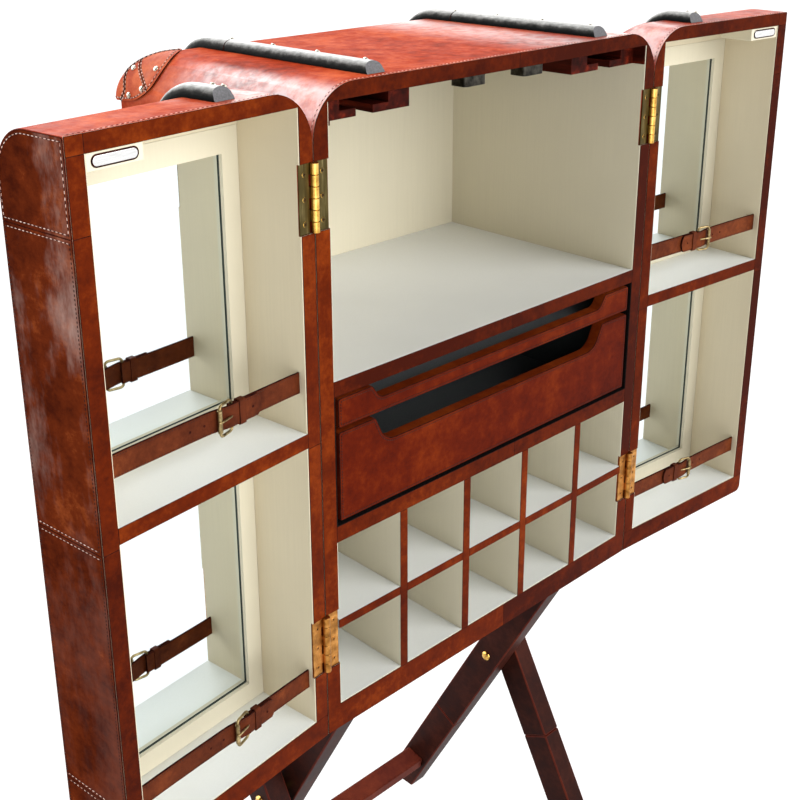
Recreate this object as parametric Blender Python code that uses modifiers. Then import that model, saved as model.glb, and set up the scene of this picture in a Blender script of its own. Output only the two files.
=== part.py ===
"""Leather-covered trunk bar cabinet with two box doors, on a folding cross-leg stand.

X runs to the right and Y to the back as seen from the front, Z up. The origin is on the floor, at the
middle of the open cabinet's footprint. Each part is modelled in the trunk's own frame: bottom front
edge at y = 0 and z = 0, centre plane at x = 0.
"""

import math

import bmesh
import bpy
from mathutils import Vector

# Where the trunk's bottom front centre sits, from the origin on the floor
TRUNK_X = 0.00128
TRUNK_Y = -0.176
TRUNK_Z = 0.59

GAP = 0.0003  # between pieces that touch
SIDES = {"left": -1, "right": 1}

# Trunk
WIDTH = 0.58
HEIGHT = 0.7601
DEPTH = 0.352
EDGE_R = 0.0559  # rounding of the outer top edges at the sides and the back
UPRIGHT_R = 0.010  # rounding of the upright back edges
HOLLOW_R = 0.040  # rounding of the hollow's top edge at the back
WALL = 0.0208
TOP_T = 0.0173
BOTTOM_T = 0.0339
BACK_Y = 0.3323  # front of the back wall
INNER_X = WIDTH / 2 - WALL
CEILING = HEIGHT - TOP_T
ARC_STEPS = 8

# Boards in the trunk
BAR_SHELF_Z = (0.4250, 0.4434)
CUBBY_TOP_Z = (0.2479, 0.2684)
CUBBY_SHELF_Z = (0.1356, 0.1472)
DIVIDER_T = 0.0124
DIVIDERS = 4
HALVING_Y = 0.166  # where the crossed boards slot into each other

# Drawers
DRAWER_HALF = 0.2635
DRAWER_FRONT_T = 0.0155
TRAY_HALF = 0.2615
TRAY_BACK = 0.3250
TRAY_SIDE_T = 0.008
TRAY_FLOOR_T = 0.005
RUNNER_W = 0.0130
RUNNER_Z = (0.3812, 0.3861)
RUNNER_Y = (0.030, 0.325)
DRAWERS = {
    # front's z range, tray's z range, cut-out's depth and its half widths at the top and bottom
    "upper": ((0.3865, 0.4210), (0.3864, 0.4200), 0.0170, 0.2125, 0.2010),
    "lower": ((0.2727, 0.3810), (0.2687, 0.3785), 0.0330, 0.2085, 0.1930),
}

# Stemware racks and catches under the ceiling
RACK_Y = (0.017, 0.270)
RACK_PLATE_T = 0.003
FLANGE_T = 0.0085
RACK_BOTTOM = 0.7189
RACK_X = 0.1391  # a rack reaches from here to the side wall
RACK_CHANNEL = (0.1700, 0.2394)  # between its rails, for the feet
RACK_SLOT = (0.1926, 0.2166)  # between its flanges, for the stems
RACK_WALL_T = 0.002  # a strip of the rack lines the wall in front of it
CATCH_X = (0.0327, 0.0675)
CATCH_Y = (0.002, 0.025)
CATCH_BOTTOM = 0.7311
CATCH_R = 0.004

# Battens bent over the top
BATTEN_X = 0.191
BATTEN_W = 0.025
BATTEN_H = 0.0125
BATTEN_START = 0.013
BATTEN_DROP = 0.075  # how far a batten runs down the back, below the trunk's top
BATTEN_ROUND = 0.0085

# Corner caps over the trunk's back top corners
CAP_R = 0.0730  # from the corner to the cap's edge
CAP_T = 0.0022
CAP_SEGMENTS = 40

# Doors
DOOR_W = 0.2885
DOOR_D = 0.0986
DOOR_SIDE_T = 0.0197
DOOR_TOP_T = 0.0172
DOOR_BOTTOM_T = 0.0298
DOOR_FACE_R = 0.046  # rounding of the outer face's top edge
DOOR_BACK_R = 0.030  # rounding of the upright edge on the hinge side
DOOR_FOOT_R = 0.009  # rounding of the free side's bottom edge
DOOR_HOLLOW_R = 0.0258
FRAME_V = (0.0849, 0.0909)  # depth range of the mirror's frame, from the door's front plane
FRAME_TOP = 0.7170
MIRROR_V = (0.0912, 0.0940)
MIRROR_U = (0.032, 0.2565)
MIRROR_Z = (0.045, 0.702)
WINDOW_U = (0.0420, 0.2465)
WINDOWS_Z = ((0.0550, 0.3560), (0.4195, 0.6900))
DOOR_SHELF_Z = (0.3798, 0.3971)
DOOR_BATTEN_U = 0.100
STRIKE_U = (0.2080, 0.2685)
STRIKE_D = 0.050
STRIKE_BOTTOM = 0.7266
LEFT_SHORT = 0.1106  # radians short of lying flat beside the trunk
RIGHT_SHORT = 0.0756

# Straps: a band from wall to wall, with the pointed end of its outer half lying in front, and a buckle
STRAP_V = (0.008, 0.011)
STRAP_W = 0.0240
STRAPS_Z = {"lower": 0.0855, "upper": 0.4535}
FOLD_V = 0.0050
FOLD_L = 0.054
FOLD_START = {"left": 0.0790, "right": 0.0940}  # u of the pointed end
BUCKLE_W = 0.0225
BUCKLE_H = 0.0365
BUCKLE_WIRE = 0.0034
BUCKLE_V = (0.0012, 0.0047)

# Hinges
PIN_Y = 0.002  # the pin's axis stands this far in front of the trunk
PIN_OUT = 0.0005  # and this far outside its side
PIN_R = 0.0015
PIN_HOLE_R = 0.00162
KNUCKLE_R = 0.0045
NOTCH_R = 0.0048
LEAF_L = 0.0722
LEAF_W = 0.0195
LEAF_Y = (0.0027, 0.0044)  # behind the pin's axis, in a mortise
KNUCKLES = 6
HINGES_Z = {"lower": 0.1255, "upper": 0.6500}

# Stand
LEG_ANGLE = math.radians(61.6)
LEG_W = 0.049
LEG_T = 0.0323
INNER_LEG_X = 0.1934  # inner face of the inner pair
WASHER_T = 0.0067
PIVOT_Y = DEPTH / 2
PIVOT_Z = -0.2276
RAIL_W = 0.040
RAIL_H = 0.0220
STRETCHER_W = 0.034
STRETCHER_H = 0.020
STRETCHER_Z = -0.520
STRETCHER_TILT = math.radians(12.0)
BOLT_R = 0.0040
BOLT_HOLE_R = 0.00412
BOLT_HEAD_R = 0.0078
BOLT_HEAD_H = 0.0042
WASHER_R = 0.0110
OUTER_LEG_X = INNER_LEG_X + LEG_T + WASHER_T

for leftover in list(bpy.data.objects):
    bpy.data.objects.remove(leftover, do_unlink=True)

parts = bpy.data.collections.new("trunk_bar_cabinet")
cutters = bpy.data.collections.new("cutters")
bpy.context.scene.collection.children.link(parts)
bpy.context.scene.collection.children.link(cutters)


def material(name, colour, roughness, metallic=0.0):
    made = bpy.data.materials.new(name)
    made.use_nodes = True
    shader = made.node_tree.nodes["Principled BSDF"]
    shader.inputs["Base Color"].default_value = (*colour, 1.0)
    shader.inputs["Roughness"].default_value = roughness
    shader.inputs["Metallic"].default_value = metallic
    return made


TAN_LEATHER = material("tan_leather", (0.25, 0.045, 0.012), 0.35)
DRAWER_LEATHER = material("drawer_leather", (0.22, 0.040, 0.012), 0.32)
DARK_LEATHER = material("dark_strap_leather", (0.055, 0.013, 0.006), 0.40)
CREAM = material("cream_lining", (0.72, 0.68, 0.56), 0.60)
WHITE = material("white_board", (0.85, 0.84, 0.80), 0.55)
CHARCOAL = material("charcoal_lining", (0.018, 0.020, 0.020), 0.65)
BLACK_LEATHER = material("black_leather_batten", (0.012, 0.012, 0.013), 0.30)
RACK_WOOD = material("stained_wood", (0.075, 0.012, 0.008), 0.40)
STAND_WOOD = material("dark_stand_wood", (0.040, 0.010, 0.008), 0.38)
BRASS = material("brass", (0.60, 0.38, 0.10), 0.28, 1.0)
OLD_BRASS = material("antique_brass", (0.26, 0.17, 0.07), 0.35, 1.0)
STEEL = material("dark_steel", (0.10, 0.10, 0.10), 0.45, 1.0)
SILVERED = material("mirror_glass", (0.85, 0.87, 0.87), 0.03, 1.0)


def add(name, mesh, colour=None, parent=None, at=(0, 0, 0), turn=(0, 0, 0)):
    """An object from a mesh, in the parts collection, or in the cutters when it has no material."""
    made = bpy.data.objects.new(name, mesh)
    made.location = at
    made.rotation_euler = turn
    made.parent = parent
    if colour is None:
        cutters.objects.link(made)
        made.hide_render = True
        made.display_type = "WIRE"
    else:
        parts.objects.link(made)
        mesh.materials.clear()
        mesh.materials.append(colour)
    return made


def empty(name, parent=None, at=(0, 0, 0), turn=(0, 0, 0)):
    made = bpy.data.objects.new(name, None)
    made.location = at
    made.rotation_euler = turn
    made.parent = parent
    parts.objects.link(made)
    return made


def block(name, x, y, z, colour=None, parent=None, soften=0.0, steps=2, rounded=None):
    """A box between two limits on each axis. rounded(middle) gives the radius of the edge at that place."""
    lower = Vector((min(x), min(y), min(z)))
    size = Vector((abs(x[1] - x[0]), abs(y[1] - y[0]), abs(z[1] - z[0])))
    centre = lower + size / 2
    shape = bmesh.new()
    bmesh.ops.create_cube(shape, size=1.0)
    bmesh.ops.scale(shape, vec=size, verts=shape.verts)
    largest = 0.0
    if rounded:
        weight = shape.edges.layers.float.new("bevel_weight_edge")
        radii = [rounded((edge.verts[0].co + edge.verts[1].co) / 2) for edge in shape.edges]
        largest = max(radii)
        for edge, radius in zip(shape.edges, radii):
            edge[weight] = radius / largest
    mesh = bpy.data.meshes.new(name)
    shape.to_mesh(mesh)
    shape.free()
    made = add(name, mesh, colour, parent, centre)
    if rounded:
        bevel = made.modifiers.new("large_rounding", "BEVEL")
        bevel.limit_method = "WEIGHT"
        bevel.width = largest
        bevel.segments = ARC_STEPS
    if soften:
        round_edges(made, soften, steps)
    return made


def round_edges(piece, width, steps=2, angle=50.0):
    bevel = piece.modifiers.new("rounded_edges", "BEVEL")
    bevel.width = width
    bevel.segments = steps
    bevel.limit_method = "ANGLE"
    bevel.angle_limit = math.radians(angle)


def combine(piece, other, operation):
    modifier = piece.modifiers.new(operation.lower(), "BOOLEAN")
    modifier.operation = operation
    modifier.solver = "EXACT"
    modifier.object = other


def cylinder(name, radius, length, colour=None, parent=None, at=(0, 0, 0), turn=(0, 0, 0), sides=24):
    shape = bmesh.new()
    bmesh.ops.create_cone(
        shape, cap_ends=True, segments=sides, radius1=radius, radius2=radius, depth=length
    )
    mesh = bpy.data.meshes.new(name)
    shape.to_mesh(mesh)
    shape.free()
    return add(name, mesh, colour, parent, at, turn)


def corner_arc(corner, before, after, radius, steps=5):
    """Points of the arc that rounds one corner of an outline."""
    corner = Vector(corner)
    towards_before = (Vector(before) - corner).normalized()
    towards_after = (Vector(after) - corner).normalized()
    half = towards_before.angle(towards_after) / 2
    reach = radius / math.tan(half)
    centre = corner + (towards_before + towards_after).normalized() * (radius / math.sin(half))
    start = corner + towards_before * reach - centre
    end = corner + towards_after * reach - centre
    arc = []
    for step in range(steps + 1):
        share = step / steps
        spoke = (start * (1 - share) + end * share).normalized() * radius
        arc.append(tuple(centre + spoke))
    return arc


def outline(points, radii=None, steps=5):
    """A closed outline whose corners are rounded by the radius given for each."""
    if radii is None:
        return [tuple(point) for point in points]
    result = []
    count = len(points)
    for index, point in enumerate(points):
        if radii[index]:
            result += corner_arc(point, points[index - 1], points[(index + 1) % count], radii[index], steps)
        else:
            result.append(tuple(point))
    return result


TURNS = {"XY": (0, 0, 0), "XZ": (math.pi / 2, 0, 0), "YZ": (math.pi / 2, 0, math.pi / 2)}


def plate(name, outlines, thickness, plane, colour=None, parent=None, at=(0, 0, 0)):
    """A flat piece cut to its outlines, in the plane named, with its middle layer at that place."""
    curve = bpy.data.curves.new(name, "CURVE")
    curve.dimensions = "2D"
    curve.fill_mode = "BOTH"
    curve.extrude = thickness / 2
    for points in outlines:
        spline = curve.splines.new("POLY")
        spline.points.add(len(points) - 1)
        for target, point in zip(spline.points, points):
            target.co = (point[0], point[1], 0, 1)
        spline.use_cyclic_u = True
    holder = bpy.data.objects.new(name + "_outline", curve)
    parts.objects.link(holder)
    bpy.context.view_layer.update()
    mesh = bpy.data.meshes.new_from_object(holder.evaluated_get(bpy.context.evaluated_depsgraph_get()))
    bpy.data.objects.remove(holder, do_unlink=True)
    weld(mesh)
    return add(name, mesh, colour, parent, at, TURNS[plane])


def weld(mesh):
    shape = bmesh.new()
    shape.from_mesh(mesh)
    bmesh.ops.remove_doubles(shape, verts=shape.verts, dist=0.00001)
    bmesh.ops.recalc_face_normals(shape, faces=shape.faces)
    shape.to_mesh(mesh)
    shape.free()


def settled(piece, name):
    """The mesh of a piece with its modifiers applied, for copies to share. The piece is removed."""
    bpy.context.view_layer.update()
    mesh = bpy.data.meshes.new_from_object(piece.evaluated_get(bpy.context.evaluated_depsgraph_get()))
    mesh.transform(piece.matrix_world)
    mesh.name = name
    bpy.data.objects.remove(piece, do_unlink=True)
    return mesh


# The trunk stands on its stand, and every piece of it is placed from this empty
trunk = empty("trunk_frame", at=(TRUNK_X, TRUNK_Y, TRUNK_Z))

# Trunk shell: what its front, side and plan outlines share, hollowed from the front
REACH = 0.02  # how far a cutter runs past the piece it cuts


def trunk_form(name, out=0.0, colour=None):
    """The trunk's outer form, larger all round by a distance. Its rounded edges meet in a mitre."""
    half, bottom, top = WIDTH / 2 + out, -out, HEIGHT + out
    front, back = -out, DEPTH + out
    edge, upright = EDGE_R + out, UPRIGHT_R + out
    front_view = [(-half, bottom), (half, bottom), (half, top), (-half, top)]
    side_view = [(front - REACH, bottom - REACH), (back, bottom - REACH), (back, top), (front - REACH, top)]
    plan = [(-half, front - REACH), (half, front - REACH), (half, back), (-half, back)]
    form = plate(
        name,
        [outline(front_view, [0, 0, edge, edge], ARC_STEPS)],
        back - front,
        "XZ",
        colour,
        trunk,
        (0, (front + back) / 2, 0),
    )
    side_cut = plate(
        f"{name}_side_view",
        [outline(side_view, [0, 0, edge, 0], ARC_STEPS)],
        2 * (half + REACH),
        "YZ",
        parent=trunk,
    )
    plan_cut = plate(
        f"{name}_plan",
        [outline(plan, [0, 0, upright, upright])],
        top - bottom + 2 * REACH,
        "XY",
        parent=trunk,
        at=(0, 0, (bottom + top) / 2),
    )
    combine(form, side_cut, "INTERSECT")
    combine(form, plan_cut, "INTERSECT")
    return form


def hollow_back_top(radius):
    """Rounding of a hollow's top edge at the back alone."""
    return lambda middle: radius if middle.z > 0.01 and middle.y > 0.01 and abs(middle.x) < 0.01 else 0.0


shell = trunk_form("case_shell", colour=TAN_LEATHER)
shell_hollow = block(
    "shell_hollow",
    (-INNER_X, INNER_X),
    (-REACH, BACK_Y),
    (BOTTOM_T, CEILING),
    parent=trunk,
    rounded=hollow_back_top(HOLLOW_R),
)
combine(shell, shell_hollow, "DIFFERENCE")

# Boards: the bar shelf, the board above the cubbies, and the cubby grid of crossed boards
BOARD_HALF = INNER_X - GAP
BOARD_BACK = BACK_Y - GAP
block("bar_shelf", (-BOARD_HALF, BOARD_HALF), (0, BOARD_BACK), BAR_SHELF_Z, WHITE, trunk)
block("cubby_top_board", (-BOARD_HALF, BOARD_HALF), (0, BOARD_BACK), CUBBY_TOP_Z, WHITE, trunk)
cubby_shelf = block(
    "cubby_shelf", (-BOARD_HALF, BOARD_HALF), (GAP, BOARD_BACK), CUBBY_SHELF_Z, WHITE, trunk
)
CUBBY_W = (2 * INNER_X - DIVIDERS * DIVIDER_T) / (DIVIDERS + 1)
for index in range(DIVIDERS):
    centre = -INNER_X + CUBBY_W + DIVIDER_T / 2 + index * (CUBBY_W + DIVIDER_T)
    divider = block(
        f"cubby_divider_{index + 1}",
        (centre - DIVIDER_T / 2, centre + DIVIDER_T / 2),
        (0, BOARD_BACK),
        (BOTTOM_T + GAP, CUBBY_TOP_Z[0] - GAP),
        CREAM,
        trunk,
    )
    divider_slot = block(
        f"divider_slot_{index + 1}",
        (centre - DIVIDER_T, centre + DIVIDER_T),
        (HALVING_Y, BOARD_BACK + REACH),
        (CUBBY_SHELF_Z[0] - GAP, CUBBY_SHELF_Z[1] + GAP),
        parent=trunk,
    )
    shelf_slot = block(
        f"shelf_slot_{index + 1}",
        (centre - DIVIDER_T / 2 - GAP, centre + DIVIDER_T / 2 + GAP),
        (-REACH, HALVING_Y + GAP),
        (CUBBY_SHELF_Z[0] - REACH, CUBBY_SHELF_Z[1] + REACH),
        parent=trunk,
    )
    combine(divider, divider_slot, "DIFFERENCE")
    combine(cubby_shelf, shelf_slot, "DIFFERENCE")

# Drawers: a leather front with a wide finger cut-out, on an open tray
for name, (front_z, tray_z, cut, cut_top, cut_bottom) in DRAWERS.items():
    low, high = front_z
    corners = [
        (-DRAWER_HALF, low),
        (DRAWER_HALF, low),
        (DRAWER_HALF, high),
        (cut_top, high),
        (cut_bottom, high - cut),
        (-cut_bottom, high - cut),
        (-cut_top, high),
        (-DRAWER_HALF, high),
    ]
    corner_r = 0.45 * cut
    radii = [0.002, 0.002, 0.003, 0.004, corner_r, corner_r, 0.004, 0.003]
    front = plate(
        f"{name}_drawer_front",
        [outline(corners, radii)],
        DRAWER_FRONT_T,
        "XZ",
        DRAWER_LEATHER,
        trunk,
        (0, DRAWER_FRONT_T / 2, 0),
    )
    tray = block(
        f"{name}_drawer_tray",
        (-TRAY_HALF, TRAY_HALF),
        (DRAWER_FRONT_T + GAP, TRAY_BACK),
        tray_z,
        CHARCOAL,
        trunk,
    )
    tray_hollow = block(
        f"{name}_tray_hollow",
        (-TRAY_HALF + TRAY_SIDE_T, TRAY_HALF - TRAY_SIDE_T),
        (-REACH, TRAY_BACK - TRAY_SIDE_T),
        (tray_z[0] + TRAY_FLOOR_T, tray_z[1] + REACH),
        parent=trunk,
    )
    combine(tray, tray_hollow, "DIFFERENCE")

for name, side in SIDES.items():
    # Runner that carries the upper drawer
    block(
        f"drawer_runner_{name}",
        (side * (INNER_X - GAP), side * (INNER_X - RUNNER_W)),
        RUNNER_Y,
        RUNNER_Z,
        RACK_WOOD,
        trunk,
    )
    # Magnetic catch under the ceiling
    block(
        f"catch_{name}",
        (side * CATCH_X[0], side * CATCH_X[1]),
        CATCH_Y,
        (CATCH_BOTTOM, CEILING - GAP),
        STEEL,
        trunk,
        rounded=lambda middle: CATCH_R if abs(middle.z) < 0.001 else 0.0,
    )
    # Stemware rack: a plate under the ceiling with two rails, whose flanges leave a slot for the stems
    top = CEILING - GAP
    wall = INNER_X - GAP
    under_plate = top - RACK_PLATE_T
    over_flange = RACK_BOTTOM + FLANGE_T
    profile = [
        (wall, top),
        (wall, RACK_BOTTOM),
        (RACK_SLOT[1], RACK_BOTTOM),
        (RACK_SLOT[1], over_flange),
        (RACK_CHANNEL[1], over_flange),
        (RACK_CHANNEL[1], under_plate),
        (RACK_CHANNEL[0], under_plate),
        (RACK_CHANNEL[0], over_flange),
        (RACK_SLOT[0], over_flange),
        (RACK_SLOT[0], RACK_BOTTOM),
        (RACK_X, RACK_BOTTOM),
        (RACK_X, top),
    ]
    rack = plate(
        f"stemware_rack_{name}",
        [[(side * x, z) for x, z in profile]],
        RACK_Y[1] - RACK_Y[0],
        "XZ",
        RACK_WOOD,
        trunk,
        (0, sum(RACK_Y) / 2, 0),
    )
    wall_strip = block(
        f"{name}_rack_wall_strip",
        (side * wall, side * (wall - RACK_WALL_T)),
        (GAP, sum(RACK_Y) / 2),
        (RACK_BOTTOM, top),
        parent=trunk,
    )
    combine(rack, wall_strip, "UNION")


def batten(name, x, back, top, radius, parent, start=0.0):
    """A strip with a rounded back, from near the front edge over the top and down the back."""
    path = []
    for lift in (GAP, BATTEN_H):
        line = [(start + BATTEN_START, top + lift)]
        for step in range(ARC_STEPS + 1):
            angle = math.pi / 2 * step / ARC_STEPS
            line.append(
                (
                    back - radius + (radius + lift) * math.sin(angle),
                    top - radius + (radius + lift) * math.cos(angle),
                )
            )
        line.append((back + lift, top - BATTEN_DROP))
        path.append(line)
    inner, outer = path
    strip = plate(name, [inner + outer[::-1]], BATTEN_W, "YZ", BLACK_LEATHER, parent, (x, 0, 0))
    shape = bmesh.new()
    shape.from_mesh(strip.data)
    crest = {(round(y, 5), round(z, 5)) for y, z in outer}
    long_edges = [
        edge
        for edge in shape.edges
        if all((round(v.co.x, 5), round(v.co.y, 5)) in crest for v in edge.verts)
        and edge.verts[0].co.z * edge.verts[1].co.z > 0
        and edge.calc_face_angle(0.0) > math.radians(60)
    ]
    bmesh.ops.bevel(
        shape, geom=long_edges, offset=BATTEN_ROUND, segments=4, profile=0.5, affect="EDGES"
    )
    shape.to_mesh(strip.data)
    shape.free()
    return strip


for name, side in SIDES.items():
    batten(f"case_batten_{name}", side * BATTEN_X, DEPTH, HEIGHT, EDGE_R, trunk)

# Corner caps: thick hide moulded over the trunk's two back top corners and cut on a radius from the corner
cap_outside = trunk_form("cap_outside", GAP + CAP_T)
cap_inside = trunk_form("cap_inside", GAP)
for name, side in SIDES.items():
    ball = bmesh.new()
    bmesh.ops.create_uvsphere(ball, u_segments=CAP_SEGMENTS, v_segments=CAP_SEGMENTS // 2, radius=CAP_R)
    cap_mesh = bpy.data.meshes.new(f"corner_cap_{name}")
    ball.to_mesh(cap_mesh)
    ball.free()
    cap = add(cap_mesh.name, cap_mesh, TAN_LEATHER, trunk, (side * WIDTH / 2, DEPTH, HEIGHT))
    combine(cap, cap_outside, "INTERSECT")
    combine(cap, cap_inside, "DIFFERENCE")

# Butt hinge leaves. Both are made lying in the hinge's own frame: pin along Z through the origin,
# the trunk's leaf towards +X and the door's towards -X, and are turned end for end on the right side.
KNUCKLE_L = LEAF_L / KNUCKLES
MORTISE_Y = LEAF_Y[1] - PIN_Y + GAP  # floor of a leaf's mortise, behind the front plane


def hinge_leaf(name, side, own):
    """A leaf with its own knuckles. The others' places are left open."""
    leaf = block(name, (0, side * LEAF_W), LEAF_Y, (-LEAF_L / 2, LEAF_L / 2), BRASS)
    for index in range(KNUCKLES):
        bottom = -LEAF_L / 2 + index * KNUCKLE_L
        if index in own:
            knuckle = cylinder(
                f"{name}_knuckle_{index}",
                KNUCKLE_R,
                KNUCKLE_L - GAP,
                at=(0, 0, bottom + KNUCKLE_L / 2),
            )
            combine(leaf, knuckle, "UNION")
        else:
            opening = block(
                f"{name}_opening_{index}",
                (-side * REACH, side * (KNUCKLE_R + GAP)),
                (-REACH, REACH),
                (bottom - GAP / 2, bottom + KNUCKLE_L + GAP / 2),
            )
            combine(leaf, opening, "DIFFERENCE")
    return leaf


trunk_leaf = hinge_leaf("trunk_leaf", 1, range(0, KNUCKLES, 2))
pin_hole = cylinder("pin_hole", PIN_HOLE_R, LEAF_L + 2 * REACH)
combine(trunk_leaf, pin_hole, "DIFFERENCE")
trunk_leaf_mesh = settled(trunk_leaf, "trunk_leaf")
door_leaf = hinge_leaf("door_leaf", -1, range(1, KNUCKLES, 2))
pin = cylinder("pin", PIN_R, LEAF_L)
combine(door_leaf, pin, "UNION")
door_leaf_mesh = settled(door_leaf, "door_leaf")

for name, side in SIDES.items():
    for level, z in HINGES_Z.items():
        axis = (side * (WIDTH / 2 + PIN_OUT), -PIN_Y, z)
        end_for_end = (0, math.pi if side > 0 else 0, 0)
        add(f"{name}_hinge_leaf_{level}", trunk_leaf_mesh, BRASS, trunk, axis, end_for_end)
        notch = cylinder(f"{name}_notch_{level}", NOTCH_R, LEAF_L + 2 * GAP, parent=trunk, at=axis)
        mortise = block(
            f"{name}_mortise_{level}",
            (side * (INNER_X - REACH), side * (WIDTH / 2 + REACH)),
            (-REACH, MORTISE_Y),
            (z - LEAF_L / 2 - GAP, z + LEAF_L / 2 + GAP),
            parent=trunk,
        )
        combine(shell, notch, "DIFFERENCE")
        combine(shell, mortise, "DIFFERENCE")

# Doors: each is placed from an empty on its hinge axis, turned to where it stands open. In a door's own
# frame u runs from the hinge side to the free edge and v from the front plane to the outer face.
for name, side in SIDES.items():
    turn = LEFT_SHORT if side < 0 else -RIGHT_SHORT
    hinge = empty(
        f"{name}_door_hinge",
        trunk,
        (side * (WIDTH / 2 + PIN_OUT), -PIN_Y, 0),
        (0, 0, turn),
    )

    def across(*distances, side=side):
        """Places along X, in the hinge's frame, of distances from the door's hinge side."""
        return tuple(side * (PIN_OUT + distance) for distance in distances)

    def deep(*distances):
        """Places along Y of distances behind the door's front plane."""
        return tuple(PIN_Y + distance for distance in distances)

    def door_edges(middle, side=side):
        """Radius of each edge of the door box, by where its middle is."""
        at_hinge = middle.x * side < -0.01
        at_free = middle.x * side > 0.01
        at_face = middle.y > 0.01
        if middle.z > 0.01:
            if at_face and not at_hinge and not at_free:
                return DOOR_FACE_R
            return EDGE_R if at_hinge and abs(middle.y) < 0.01 else 0.0
        if middle.z > -0.01:
            return DOOR_BACK_R if at_hinge and at_face else 0.0
        return DOOR_FOOT_R if at_free and abs(middle.y) < 0.01 else 0.0

    door = block(
        f"{name}_door_box",
        across(0, DOOR_W),
        deep(0, DOOR_D),
        (0, HEIGHT),
        TAN_LEATHER,
        hinge,
        rounded=door_edges,
    )
    inside_u = (DOOR_SIDE_T, DOOR_W - DOOR_SIDE_T)
    ceiling = HEIGHT - DOOR_TOP_T
    hollows = {
        "hollow": (inside_u, (-REACH, FRAME_V[0]), (DOOR_BOTTOM_T, ceiling)),
        "frame_recess": (inside_u, (0.05, FRAME_V[1]), (DOOR_BOTTOM_T, FRAME_TOP)),
        "mirror_recess": (
            (MIRROR_U[0] - GAP, MIRROR_U[1] + GAP),
            (0.05, MIRROR_V[1] + GAP),
            (MIRROR_Z[0] - GAP, MIRROR_Z[1] + GAP),
        ),
    }
    for label, (u, v, z) in hollows.items():
        rounding = hollow_back_top(DOOR_HOLLOW_R) if label == "hollow" else None
        cutter = block(f"{name}_door_{label}", across(*u), deep(*v), z, parent=hinge, rounded=rounding)
        combine(door, cutter, "DIFFERENCE")
    for level, z in HINGES_Z.items():
        notch = cylinder(
            f"{name}_door_notch_{level}", NOTCH_R, LEAF_L + 2 * GAP, parent=hinge, at=(0, 0, z)
        )
        mortise = block(
            f"{name}_door_mortise_{level}",
            across(-REACH, DOOR_SIDE_T + REACH),
            deep(-REACH, MORTISE_Y),
            (z - LEAF_L / 2 - GAP, z + LEAF_L / 2 + GAP),
            parent=hinge,
        )
        combine(door, notch, "DIFFERENCE")
        combine(door, mortise, "DIFFERENCE")
        end_for_end = (0, math.pi if side > 0 else 0, 0)
        add(f"{name}_door_leaf_{level}", door_leaf_mesh, BRASS, hinge, (0, 0, z), end_for_end)

    # Mirror behind a cream frame with two windows, and the shelf in front of its middle rail
    clear_u = (DOOR_SIDE_T + GAP, DOOR_W - DOOR_SIDE_T - GAP)
    frame = block(
        f"{name}_mirror_frame",
        across(*clear_u),
        deep(FRAME_V[0], FRAME_V[1] - GAP),
        (DOOR_BOTTOM_T + GAP, FRAME_TOP - GAP),
        CREAM,
        hinge,
    )
    for number, window_z in enumerate(WINDOWS_Z):
        window = block(
            f"{name}_window_{number}",
            across(*WINDOW_U),
            deep(FRAME_V[0] - REACH, FRAME_V[1] + REACH),
            window_z,
            parent=hinge,
        )
        combine(frame, window, "DIFFERENCE")
    block(f"{name}_mirror", across(*MIRROR_U), deep(*MIRROR_V), MIRROR_Z, SILVERED, hinge)
    block(
        f"{name}_door_shelf",
        across(*clear_u),
        deep(0, FRAME_V[0] - GAP),
        DOOR_SHELF_Z,
        WHITE,
        hinge,
    )
    block(
        f"{name}_strike_block",
        across(STRIKE_U[0], STRIKE_U[1]),
        deep(GAP, STRIKE_D),
        (STRIKE_BOTTOM, ceiling - GAP),
        CREAM,
        hinge,
        soften=0.001,
    )

    # Straps with the end folded over in front, seen from above, and their buckles
    for level, z in STRAPS_Z.items():
        fold = (FOLD_START[name], FOLD_START[name] + FOLD_L)
        band = [
            (clear_u[0], STRAP_V[1]),
            (clear_u[0], STRAP_V[0]),
            (fold[0], STRAP_V[0]),
            (fold[0], FOLD_V),
            (fold[1], FOLD_V),
            (fold[1], STRAP_V[0]),
            (clear_u[1], STRAP_V[0]),
            (clear_u[1], STRAP_V[1]),
        ]
        plate(
            f"{name}_strap_{level}",
            [[(across(u)[0], deep(v)[0]) for u, v in band]],
            STRAP_W,
            "XY",
            DARK_LEATHER,
            hinge,
            (0, 0, z),
        )
        middle = fold[1] - BUCKLE_W / 4
        half_w = BUCKLE_W / 2
        half_h = BUCKLE_H / 2
        ring = []
        for inset, radius in ((0, 0.0055), (BUCKLE_WIRE, 0.0026)):
            w = half_w - inset
            h = half_h - inset
            ring.append(outline([(-w, -h), (w, -h), (w, h), (-w, h)], [radius] * 4))
        buckle = plate(
            f"{name}_buckle_{level}",
            ring,
            BUCKLE_V[1] - BUCKLE_V[0],
            "XZ",
            OLD_BRASS,
            hinge,
            (across(middle)[0], deep(sum(BUCKLE_V) / 2)[0], z),
        )
        prong = block(
            f"{name}_prong_{level}",
            across(middle - half_w + 0.001, middle + half_w - 0.001),
            deep(BUCKLE_V[0] + 0.0005, BUCKLE_V[1] - 0.0004),
            (z - 0.0013, z + 0.0013),
            parent=hinge,
        )
        combine(buckle, prong, "UNION")

    batten(
        f"{name}_door_batten",
        across(DOOR_BATTEN_U)[0],
        deep(DOOR_D)[0],
        HEIGHT,
        DOOR_FACE_R,
        hinge,
        start=PIN_Y,
    )

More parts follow.
